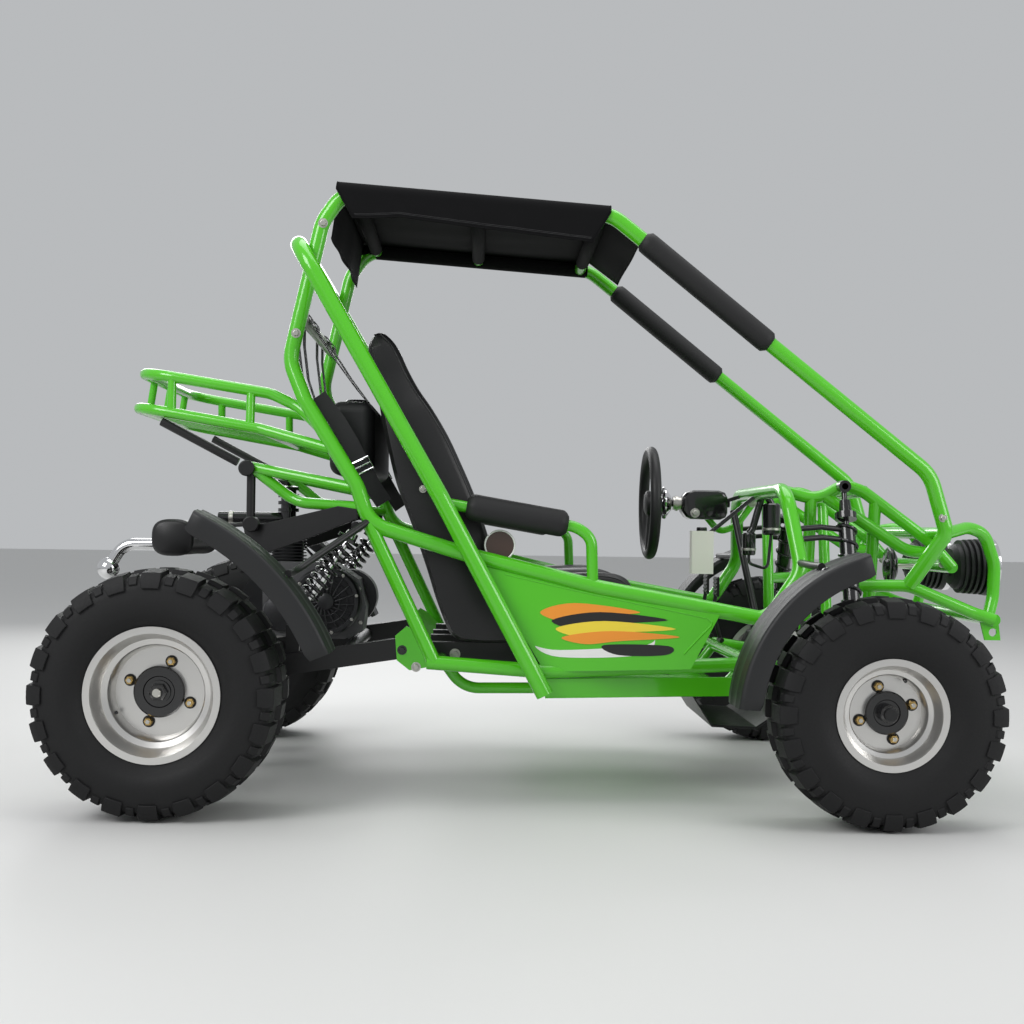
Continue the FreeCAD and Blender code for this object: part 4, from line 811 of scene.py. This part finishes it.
# Distances from an edge of the top, and heights over it
ROUNDED_EDGE = [(0.01 - 0.01 * sin(n * pi / 12), -0.01 + 0.01 * cos(n * pi / 12)) for n in range(7)]
OUTER_LIP = [(0, -0.044), (0.002, -0.047), (FENDER_WALL, -0.046), (FENDER_WALL, -0.012), (0.012, -FENDER_WALL)]
INNER_LIP = [(0.01, -FENDER_WALL), (FENDER_WALL, -0.012), (0.001, -0.012), (0, -0.008), (0.006, 0)]
RIB = [(0.03, 0.0006), (0.036, 0.0024), (0.042, 0.0024), (0.048, 0.0006)]

for side, way, end, size in WHEEL_SET:
    axle = vec(size["axle_x"], 0, size["radius"])
    a, b, c = [(axle.x + x * size["radius"], axle.z + z * size["radius"]) for x, z in size["fender"]]
    cx, cz, reach = circle_through(a, b, c)
    first, last = atan2(a[1] - cz, a[0] - cx), atan2(c[1] - cz, c[0] - cx)
    if last - first > pi:
        last -= 2 * pi
    if first - last > pi:
        last += 2 * pi
    outer = size["half_track"] + size["width"] * size["cover"]
    outer_y, inner_y = way * outer, way * (outer - FENDER_WIDE)
    section = [(outer_y - way * d, h) for d, h in ROUNDED_EDGE + OUTER_LIP]
    section += [(inner_y + way * d, h) for d, h in INNER_LIP + RIB]
    section += [(outer_y - way * d, h) for d, h in RIB[::-1]]
    mid = (outer_y + inner_y) / 2

    def on_top(angle, lift, y=mid):
        return vec(cx + (reach + lift) * cos(angle), y, cz + (reach + lift) * sin(angle))

    rows = []
    for n in range(49):
        angle = first + (last - first) * n / 48
        shrink = 1 - 0.1 * max(0, 1 - min(n, 48 - n) / 3) ** 2
        rows.append([on_top(angle, h * (shrink if h < -0.02 else 1), mid + (y - mid) * shrink)
                     for y, h in section])
    guard = Shape()
    guard.rings(rows, plastic)
    angle = first + (last - first) * size["stay"]
    tip = on_top(angle, 0.005)
    elbow = vec(tip.x, inner_y - way * 0.01, tip.z)
    if end == "front":
        leg = leg_on("dash_hoop", 0.39 * CAGE_HIGH, way)
    else:
        leg = leg_on(f"side_frame_{side}", 0.452 * CAGE_HIGH, way, -0.3)
    guard.pipe(fillet_line([leg, elbow, tip], 0.03), 0.008, steel, 14)
    for share in (0.3, 0.7):
        guard.turned([(0, 0.009), (0.002, 0.009), (0.004, 0.006), (0.004, 0)],
                     on_top(angle, 0.0004, inner_y + (outer_y - inner_y) * share), around(angle), gloss_black, 20)
    guard.instead(f"{end}_fender_{side}", slot="fender_plastic", smooth=40)


# Engine: crankcase with its fan, finned cylinder, belt cover, intake and exhaust

def on_engine(x, y, z):
    return vec(-0.6893 + x * 0.2567, y, 0.3245 + z * 0.187)


engine = Shape()
CASE = [(0.02, 0.25), (0.1, 0.04), (0.35, 0), (0.8, 0), (0.97, 0.1), (1, 0.42), (0.93, 0.78), (0.7, 0.98),
        (0.52, 1), (0.04, 1), (0.01, 0.7)]
engine.slab([on_engine(x, -0.0575, z) for x, z in CASE], (0, 0.115, 0), alloy)
drive = on_engine(0.2, 0, 0.34)
engine.turned([(0, 0.046), (0.066, 0.046), (0.072, 0.043), (0.078, 0.03), (0.078, 0)], drive, NEAR, dark_alloy, 48)
fan = on_engine(0.64, 0, 0.5)
blade_depth = vec(0, -0.109, 0)
engine.turned([(0.05, 0.0828), (0.108, 0.0828), (0.115, 0.078), (0.115, 0.069), (0.1, 0.067), (0.1, 0)], fan,
              NEAR, dark_alloy, 56)
for n in range(18):
    angle = pi * n / 9
    engine.rod(fan + around(angle) * 0.02 + blade_depth, fan + around(angle + 0.25) * 0.07 + blade_depth, 0.0024,
               dark_alloy, 8)
for ring in (0.034, 0.052):
    engine.pipe([fan + around(a * pi / 16, ring, -0.109) for a in range(32)], 0.002, dark_alloy, 8, closed=True)
engine.turned([(0.096, 0.021), (0.113, 0.02), (0.115, 0.017), (0.115, 0)], fan, NEAR, dark_alloy, 32)
for n in range(8):
    engine.bolt(fan + around(pi * n / 4 + 0.2, 0.0755, -0.1145), NEAR, 0.0045, zinc)
for x, z in ((0.08, 0.12), (0.95, 0.22), (0.93, 0.66), (0.66, 0.93), (0.06, 0.92)):
    engine.bolt(on_engine(x, -0.057, z), NEAR, 0.006, zinc)
for n in range(5):
    x = 0.28 + 0.14 * n
    engine.rod(on_engine(x, -0.055, 0.02), on_engine(x, 0.055, 0.02), 0.004, alloy, 10)
engine.instead("engine_crankcase", slot="engine_alloy", bevel=0.0012)

CYLINDER_X = -0.6329
PLUG_Z = 0.582
barrel = Shape()
foot = vec(CYLINDER_X, 0, 0.5118)
barrel.turned([(0, 0.039), (0.088, 0.039)], foot, Z, dark_alloy, 40)
for n in range(9):
    z = foot.z + 0.004 + n * 0.0078
    rows = []
    for high, reach in ((0, 0.0488), (0.0008, 0.05), (0.0024, 0.05), (0.0032, 0.0488)):
        row = []
        for angle in (2 * pi * k / 40 for k in range(40)):
            wide = reach * 0.93 / max(abs(cos(angle)), abs(sin(angle))) ** 0.55
            row.append(vec(foot.x + wide * cos(angle), wide * sin(angle), z + high))
        rows.append(row)
    barrel.rings(rows, dark_alloy)
barrel.turned([(0.074, 0.046), (0.083, 0.046), (0.088, 0.041), (0.088, 0)], foot, Z, alloy, 40)
barrel.rod((CYLINDER_X, 0.035, PLUG_Z), (CYLINDER_X, 0.06, PLUG_Z), 0.008, white_ink, 20, 0.001)
barrel.rod((CYLINDER_X, 0.058, PLUG_Z), (CYLINDER_X, 0.078, PLUG_Z), 0.01, gloss_black, 20, 0.002)
lead = [(0, 0.077, PLUG_Z), (0, 0.094, 0.576), (0.03, 0.098, 0.545), (0.06, 0.085, 0.515), (0.075, 0.055, 0.505)]
lead = fillet_line([(CYLINDER_X + x, y, z) for x, y, z in lead], 0.02)
barrel.pipe(lead, 0.0035, gloss_black, 10)
barrel.instead("engine_cylinder", slot="engine_alloy", smooth=40)


def belt_case(form, a, ra, b, rb, y0, y1, edge):
    """A case round two pulleys, its outer edge rounded."""
    base = atan2(b.z - a.z, b.x - a.x)
    lean = acos((ra - rb) / hypot(b.x - a.x, b.z - a.z))

    def ring(y, cut):
        return [centre + around(first + (last - first) * n / 24, radius - cut, y)
                for centre, radius, first, last in ((a, ra, base + lean, base + 2 * pi - lean),
                                                    (b, rb, base - lean, base + lean)) for n in range(25)]

    form.rings([ring(y0, 0), ring(y1 - edge, 0), ring(y1 - edge * 0.3, edge * 0.3), ring(y1, edge)], dark_alloy)


cover = Shape()
belt_a, belt_b = on_engine(0.05, 0, 0.42), on_engine(0.8, 0, 0.52)
belt_case(cover, belt_a, 0.0828, belt_b, 0.069, 0.0578, 0.126, 0.005)
belt_case(cover, belt_a, 0.0644, belt_b, 0.0506, 0.125, 0.1345, 0.004)
for x in (0.12, 0.26, 0.4, 0.54, 0.68):
    cover.rod(on_engine(x, 0.1345, 0.22), on_engine(x, 0.1345, 0.72), 0.0037, dark_alloy, 12, 0.001)
for n in range(7):
    angle = pi / 2 + 0.35 + (pi - 0.7) * n / 6
    cover.bolt(belt_a + around(angle, 0.0745, 0.1255), Y, 0.0045, zinc)
cover.instead("transmission_cover", slot="engine_alloy", bevel=0.0008)

intake = Shape()
base = vec(CYLINDER_X, 0, 0.6005)
intake.turned([(0, 0.019), (0.033, 0.019), (0.0335, 0.026), (0.042, 0.026), (0.0425, 0.019), (0.051, 0.019),
               (0.0515, 0.026), (0.06, 0.026), (0.0605, 0.019), (0.0685, 0.019), (0.069, 0.026), (0.0775, 0.026),
               (0.078, 0.019), (0.0862, 0.019), (0.0868, 0.026), (0.095, 0.026), (0.0975, 0.018), (0.0975, 0)], base,
              Z, gloss_black, 40)
intake.rod(base + vec(-0.012, 0, 0.0165), (-0.8065, 0, 0.617), 0.0157, gloss_black, 28, 0.002)
intake.rod((-0.78, 0, 0.617), (-0.768, 0, 0.617), 0.0172, zinc, 28, 0.001)
intake.done("intake_pipe_look", slot="fender_plastic", smooth=30)

TAIL_Y = -0.1496
pipes = Shape()
centre = vec(-0.8711, -0.0704, 0.5681)
half_x, half_y, half_z = 0.049, 0.1606, 0.043
rows = []
for share in (-1, -0.975, -0.94, -0.93, 0.93, 0.94, 0.975, 1):
    pull = {1: 0.8, 0.975: 0.93, 0.94: 1, 0.93: 0.97}[abs(share)]
    rows.append([centre + vec(half_x * pull * copysign(abs(c) ** 0.7, c), half_y * share,
                              half_z * pull * copysign(abs(s) ** 0.7, s))
                 for c, s in ((cos(2 * pi * k / 48), sin(2 * pi * k / 48)) for k in range(48))])
pipes.rings(rows, steel)
low = centre.z - 0.0172
tail = fillet_line([(centre.x - 0.02, TAIL_Y, low), (-1.0039, TAIL_Y, low), (-1.0388, TAIL_Y, 0.4924)], 0.05, 10)
pipes.pipe(tail, 0.014, chrome, 24)
pipes.turned([(-0.026 * cos(a * pi / 16), 0.026 * sin(a * pi / 16)) for a in range(17)], tail[-1], Z, chrome, 32)
pipes.rod(vec(centre.x, 0, centre.z - 0.0086), vec(-0.68, 0, centre.z - 0.0086), 0.014, chrome, 24)
struts = corners_of("rack_struts")
low_z = min(p.z for p in struts)
end = mean_of(p for p in struts if p.z < low_z + 0.012 and p.y < 0 and p.x < -0.62)
pipes.rod(centre + vec(0.012, -0.148, 0.022), end, 0.005, steel, 12)
pipes.bolt(end + vec(0, -0.006, 0), NEAR, 0.0075, zinc, washer=zinc)
pipes.instead("exhaust", slot="black_steel", smooth=40)


# Floor tray with its sides turned up, skid plate and pedals

def rail_y(x):
    """The inner side of the lower rails at a place along the vehicle."""
    casts = [trees["lower_frame"].ray_cast(vec(x, -1, 0.25 + 0.005 * n), Y)[0] for n in range(24)]
    return max(-place.y for place in casts if place is not None) - 0.016


tray = Shape()
base, top = 0.227, 0.2705
line = [(x, rail_y(x)) for x in (-0.0082, 0.213, 0.4326)]
for (x0, y0), (x1, y1) in zip(line, line[1:]):
    for way in (-1, 1):
        tray.slab([(x0, way * y0, base), (x1, way * y1, base), (x1, way * y1, top), (x0, way * y0, top)],
                  (0, -way * 0.003, 0), green)
outline = [(x, -y, base) for x, y in line] + [(x, y, base) for x, y in line[::-1]]
tray.slab(outline, (0, 0, 0.003), green)
tray.instead("floor_pan", slot="green_paint", bevel=0.001)

skid = Shape()
under = [(0.3046, 0.2207), (0.3406, 0.2207), (0.3925, 0.1405), (0.4964, 0.1364), (0.5958, 0.2046), (0.6225, 0.2682),
         (0.6585, 0.2682)]
skid.rings([[(x, -0.198, z), (x, 0.198, z), (x, 0.198, z + 0.006), (x, -0.198, z + 0.006)] for x, z in under], steel)
for y in (-0.12, 0.12):
    skid.rod((0.33, y, 0.23), (0.33, y, 0.2215), 0.008, zinc, 16)
skid.done("belly_plate_look", slot="black_steel", bevel=0.0015)

feet = Shape()
for y in (0.12, 0.28):
    foot = vec(0.4652, y, 0.3216)
    feet.rod(foot - vec(0, 0.024, 0), foot + vec(0, 0.024, 0), 0.006, steel, 16)
    lever = [foot, foot + vec(-0.02, 0, 0.075), foot + vec(-0.01, 0, 0.1364)]
    feet.pipe(fillet_line(lever, 0.02), 0.005, steel, 14)
    feet.box((0.4502, y - 0.03, 0.433), (0.4562, y + 0.03, 0.483), steel)
    for n in range(5):
        z = 0.437 + 0.0095 * n
        feet.box((0.4482, y - 0.027, z), (0.4504, y + 0.027, z + 0.004), grip)
feet.done("pedals_look", slot="black_steel", bevel=0.0008)


# Lamps: ribbed housings, bright rings and bowls behind the glass

# Depths as shares of the lamp's length, radii as shares of its radius; each rib is as long as RIB_LONG
LAMP = [(0, 0), (0, 0.34), (0.06, 0.34), (0.08, 0.62), (0.17, 0.78)]
RIB_LONG = 0.05
for start, high in ((0.25, 0.92), (0.36, 0.94), (0.47, 0.95), (0.58, 0.96)):
    LAMP += [(start, 0.8), (start, high), (start + RIB_LONG, high), (start + RIB_LONG, 0.8)]
LAMP += [(0.69, 0.8), (0.69, 0.97), (0.79, 1), (0.8, 0.97), (0.8, 0)]
LENS = [(0.095, 0), (0.095, 0.0612), (0.1065, 0.0625)]
LENS += [(0.1065 + 0.0112 * sin(n * pi / 24), 0.0625 * cos(n * pi / 24)) for n in range(1, 13)]
RING = [(0.0945, 0.0625), (0.0945, 0.0682), (0.102, 0.0684), (0.109, 0.0676), (0.1108, 0.0648), (0.1098, 0.0628)]
BOWL = [(0.0955, 0.004), (0.0958, 0.018), (0.1, 0.038), (0.107, 0.0585), (0.106, 0.0585), (0.099, 0.038),
        (0.0952, 0.018)]
lamps = Shape()
for number, way in enumerate(SIDES.values()):
    place = vec(0.947, way * 0.16, 0.5238)
    housing = Shape()
    housing.turned([(x * 0.118, r * 0.068) for x, r in LAMP], place, X, plastic, 64)
    housing.done(f"headlamp_{number}_look", slot="fender_plastic", replaces=["headlamps"], smooth=30)
    lens = Shape()
    lens.turned(LENS, place, X, glass, 64)
    lens.done(f"headlamp_lens_{number}_look", slot="lamp_glass", replaces=["headlamp_lenses"], smooth=40)
    lamps.turned(RING, place, X, chrome, 64, closed=True)
    lamps.turned(BOWL, place, X, chrome, 48, closed=True)
    lamps.turned([(0.0955, 0.0085), (0.1065, 0.0085), (0.1085, 0.006), (0.1085, 0)], place, X, white_ink, 24)
lamps.done("lamp_rings")


# Steering hub, column hood, horn, dial, bottle cap and tank cap

STEERING_AXIS = vec(0, 0.2, 0.672)
wheel_trim = Shape()
wheel_trim.turned([(0.3, 0), (0.3, 0.021), (0.3185, 0.024), (0.3215, 0.041), (0.3245, 0.043), (0.3285, 0.042),
                   (0.34, 0.024), (0.343, 0.021), (0.343, 0)], STEERING_AXIS, X, chrome, 48)
cap = [(0.2745, 0), (0.2745, 0.022), (0.279, 0.031), (0.287, 0.033), (0.287, 0)]
wheel_trim.turned(cap, STEERING_AXIS, X, grip, 48)
wheel_trim.done("steering_wheel_trim", "steering_wheel")

hood = Shape()
outline = [(0.369, 0.652), (0.38, 0.637), (0.392, 0.631), (0.47, 0.63), (0.484, 0.636), (0.489, 0.648), (0.489, 0.688),
           (0.482, 0.701), (0.466, 0.7065), (0.398, 0.7065), (0.38, 0.7), (0.37, 0.688)]
hood.rings([[(0.43 + (x - 0.43) * cut, y, 0.669 + (z - 0.669) * cut) for x, z in outline] for y, cut in (
    (0.1685, 0.9), (0.1725, 0.98), (0.1785, 1), (0.2215, 1), (0.2275, 0.98), (0.2315, 0.9))], gloss_black)
for start, end, radius in ((0, 0.024, 0.0175), (0.006, 0.012, 0.02)):
    hood.turned([(start, radius), (end, radius)], STEERING_AXIS + X * 0.349, X, zinc, 32)
hood.done("column_hood", smooth=40)

small = Shape()
place = vec(0.8285, -0.115, 0.5226)
small.turned([(-0.014, 0.016), (-0.012, 0.03), (-0.006, 0.041), (0, 0.044), (0.004, 0.044), (0.006, 0.041),
              (0.006, 0.016), (0.012, 0.014), (0.012, 0)], place, (-1, 0, 0), gloss_black, 48)
small.rod(place + vec(0.012, 0, 0), (0.92, -0.115, 0.5238), 0.0045, zinc, 12)
place = vec(-0.1122, -0.3742, 0.5618)
small.turned([(0, 0.034), (0.01, 0.034), (0.01, 0)], place, NEAR, gloss_black, 48)
small.turned([(0.01, 0.031), (0.0125, 0.031), (0.0135, 0.033), (0.0125, 0.0348), (0.009, 0.0348)], place, NEAR,
             white_ink, 48, closed=True)
small.turned([(0.0101, 0.031), (0.0112, 0.031), (0.0112, 0)], place, NEAR, dial_face, 48)
small.turned([(0, 0.013), (0.008, 0.013), (0.01, 0.011), (0.01, 0)], (0.3955, 0.0066, 0.5995), Z, gloss_black, 24)
small.turned([(0, 0.03), (0.012, 0.03), (0.016, 0.026), (0.016, 0)], (-0.4549, -0.12, 0.8858), Z, gloss_black, 24)
small.done("chassis_small_parts", bevel=0.0004)


# Bolts where the picture shows them, on both sides

BOLTS = [(323, 223, 0.0075, zinc), (296, 333, 0.0075, zinc), (247, 468, 0.0085, zinc), (250, 524, 0.0085, zinc),
         (402, 650, 0.0075, gloss_black), (416, 667, 0.0075, zinc), (455, 654, 0.0085, zinc), (756, 506, 0.0055, zinc),
         (943, 518, 0.0065, zinc), (882, 560, 0.0055, zinc), (423, 489, 0.006, zinc)]
bolts = Shape()
for u, v, radius, mat in BOLTS:
    found = seen(u, v)
    if not found or found[2] in ("rear_rim_right", "front_rim_right", "rear_tyre_right", "front_tyre_right"):
        continue
    place, normal = found[:2]
    for mirror in (False, True):
        axis = flip(NEAR if abs(normal.y) > 0.5 else normal, mirror)
        bolts.bolt(flip(place, mirror) - axis * 0.001, axis, radius, mat, washer=mat)
bolts.done("frame_bolts", bevel=0.0003)


# Black beams from the struts to the side frames, and black arms from the dash hoop to the front shocks

arms = Shape()
beam = [(243, 524), (262, 524), (338, 506), (357, 509), (357, 519), (304, 540), (266, 553), (246, 544)]
for way in SIDES.values():
    outline = [flip(at_depth(u, v, -0.3 - 0.1 * (u - 250) / 102), way > 0) for u, v in beam]
    arms.slab(outline, (0, -way * 0.02, 0), steel)
for u, v in ((246, 468), (250, 524)):
    for way in (1, -1):
        arms.turned([(0, 0), (0, 0.0165), (0.002, 0.018), (0.033, 0.018), (0.035, 0.0165), (0.035, 0)],
                    flip(at_depth(u, v, -0.327), way < 0), (0, way, 0), steel, 32)
for way, (foot, head) in shock_ends.items():
    for z in (0.606, 0.583):
        hold = foot.lerp(head, (z - foot.z) / (head.z - foot.z))
        leg = leg_on("dash_hoop", z, way)
        arms.pipe([leg, leg.lerp(hold, 0.5) + vec(0, 0, 0.006), hold], 0.0065, steel, 14)
arms.done("frame_arms", slot="black_steel", bevel=0.001)


# Brake cylinders under the dash hoop and the column's green brace

BRAKE_Y = 0.052
CUP = (0.556, BRAKE_Y, 0.7)
dash = Shape()
for x, z0, z1, radius in ((0.578, 0.592, 0.672, 0.022), (0.522, 0.5405, 0.5975, 0.017)):
    dash.turned([(0, radius * 0.85), (0.004, radius), (z1 - z0 - 0.004, radius), (z1 - z0, radius * 0.8),
                 (z1 - z0, 0)], (x, BRAKE_Y, z0), Z, gloss_black, 36)
    dash.turned([(0.012, radius + 0.0012), (0.018, radius + 0.0012)], (x, BRAKE_Y, z0), Z, zinc, 36)
    rise = [(x, BRAKE_Y, z1 - 0.002), (x - 0.25 * (x - CUP[0]), BRAKE_Y, z1 + 0.008), CUP]
    dash.pipe(fillet_line(rise, 0.02), 0.009, gloss_black, 16)
hose = [(x, BRAKE_Y, z) for x, z in ((0.522, 0.545), (0.522, 0.52), (0.57, 0.505), (0.578, 0.598))]
dash.pipe(fillet_line(hose, 0.02), 0.004, gloss_black, 10)
brace = [at_depth(u, v, 0.2385) for u, v in ((699, 508), (719, 532), (736, 526), (757, 498))]
dash.pipe(fillet_line(brace, 0.02), 0.009, green, 20)
dash.bolt(at_depth(695, 513, 0.169), NEAR, 0.0085, zinc, washer=zinc)
dash.bolt(at_depth(752, 503, 0.043), NEAR, 0.0075, zinc, washer=zinc)
dash.done("dash_fittings", bevel=0.0005)


# Reservoir: the bottle in white plastic and its hanger in black

bottle = nodes["reservoir"]
points = corners_of("reservoir")
reservoir = Shape()
for hanger, mat in ((False, bottle_white), (True, gloss_black)):
    reservoir.add(points, [tuple(f.vertices) for f in bottle.data.polygons
                           if (mean_of(points[k] for k in f.vertices).z > 0.5995) is hanger], mat)
reservoir.instead("reservoir", slot="bottle_plastic", smooth=30)


# Straps: belts from the harness bar and the wide strap with its buckle

STRAP = vec(0, 0.045, 0)
STRAP_THICK = 0.0018
straps = Shape()
bar = middle_of("harness_bar")
for y in (-0.25, -0.13, 0.13, 0.25):
    loop = [vec(bar.x, 0, bar.z) + around(radians(-70 + n * 25), 0.0168, y) for n in range(2, 9)]
    fore = [vec(-0.398, y, 0.86), vec(-0.445, y, 0.915), vec(-0.505, y, 0.995), vec(bar.x + 0.017, y, bar.z - 0.0087)]
    back = [vec(bar.x - 0.0168, y, bar.z), vec(bar.x - 0.0165, y, 1.03), vec(-0.572, y, 0.95), vec(-0.545, y, 0.87),
            vec(-0.51, y, 0.83)]
    for line in (fore + loop, back):
        straps.belt(line, [STRAP] * len(line), STRAP_THICK, webbing)
spots = [(318, 396), (326, 406), (338, 422), (350, 442), (362, 466), (374, 488), (384, 503)]
for mirror in (False, True):
    line = [at_depth(u, v, -0.335) for u, v in spots]
    widths = []
    for n in range(len(line)):
        along = line[min(n + 1, len(line) - 1)] - line[max(n - 1, 0)]
        widths.append(flip(vec(-along.z, 0, along.x).normalized() * 0.036 + vec(0, 0.016, 0), mirror))
    line = [flip(p, mirror) for p in line]
    straps.belt(line, widths, 0.003, webbing)
    along = (line[5] - line[3]).normalized() * 0.014
    wide = widths[4].normalized() * 0.023
    centre = line[4] + vec(0, 0.004 if mirror else -0.004, 0)
    straps.pipe([centre - along - wide, centre + along - wide, centre + along + wide, centre - along + wide], 0.0028,
                chrome, 8, closed=True)
    straps.rod(centre - wide, centre + wide, 0.0022, chrome, 10)
straps.done("harness_straps", smooth=40)


# Floor, light and camera

bpy.ops.mesh.primitive_plane_add(size=60, location=(0, 0, 0))
floor = bpy.context.object
floor.name = "floor"
floor.data.materials.append(paint("floor", (0.62, 0.62, 0.61), 0.55, vary=0.1, scale=3))

world = bpy.data.worlds.new("studio")
bpy.context.scene.world = world
world.use_nodes = True
background = world.node_tree.nodes["Background"]
background.inputs["Color"].default_value = (0.78, 0.8, 0.82, 1)
background.inputs["Strength"].default_value = 0.62


def lamp(name, place, aim, power, wide, tall):
    data = bpy.data.lights.new(name, "AREA")
    data.shape = "RECTANGLE"
    data.size, data.size_y = wide, tall
    data.energy = power
    thing = bpy.data.objects.new(name, data)
    bpy.context.scene.collection.objects.link(thing)
    thing.location = place
    thing.rotation_euler = (Vector(aim) - Vector(place)).to_track_quat("-Z", "Y").to_euler()


lamp("key", (-3.2, -3.4, 3.4), (0, 0, 0.5), 130, 2.4, 2.4)
lamp("top", (0.3, 0.4, 4.2), (0, 0, 0.5), 85, 3.5, 3.5)
lamp("fill", (3.6, -2.2, 1.9), (0.2, 0, 0.5), 55, 2, 2)
lamp("back", (-1, 4.2, 2.6), (0, 0, 0.6), 80, 3, 2)

scene = bpy.context.scene
scene.view_settings.view_transform = "Standard"
camera_data = bpy.data.cameras.new("camera")
camera_data.lens = 49.22
camera_data.sensor_width = 36
camera_data.shift_x = 0.03125
camera_data.shift_y = 0.0176
camera = bpy.data.objects.new("camera", camera_data)
scene.collection.objects.link(camera)
camera.matrix_world = (Matrix.Translation(EYE) @ Matrix.Rotation(radians(90), 4, "X")
                       @ Matrix.Rotation(radians(0.766), 4, "Z"))
scene.camera = camera
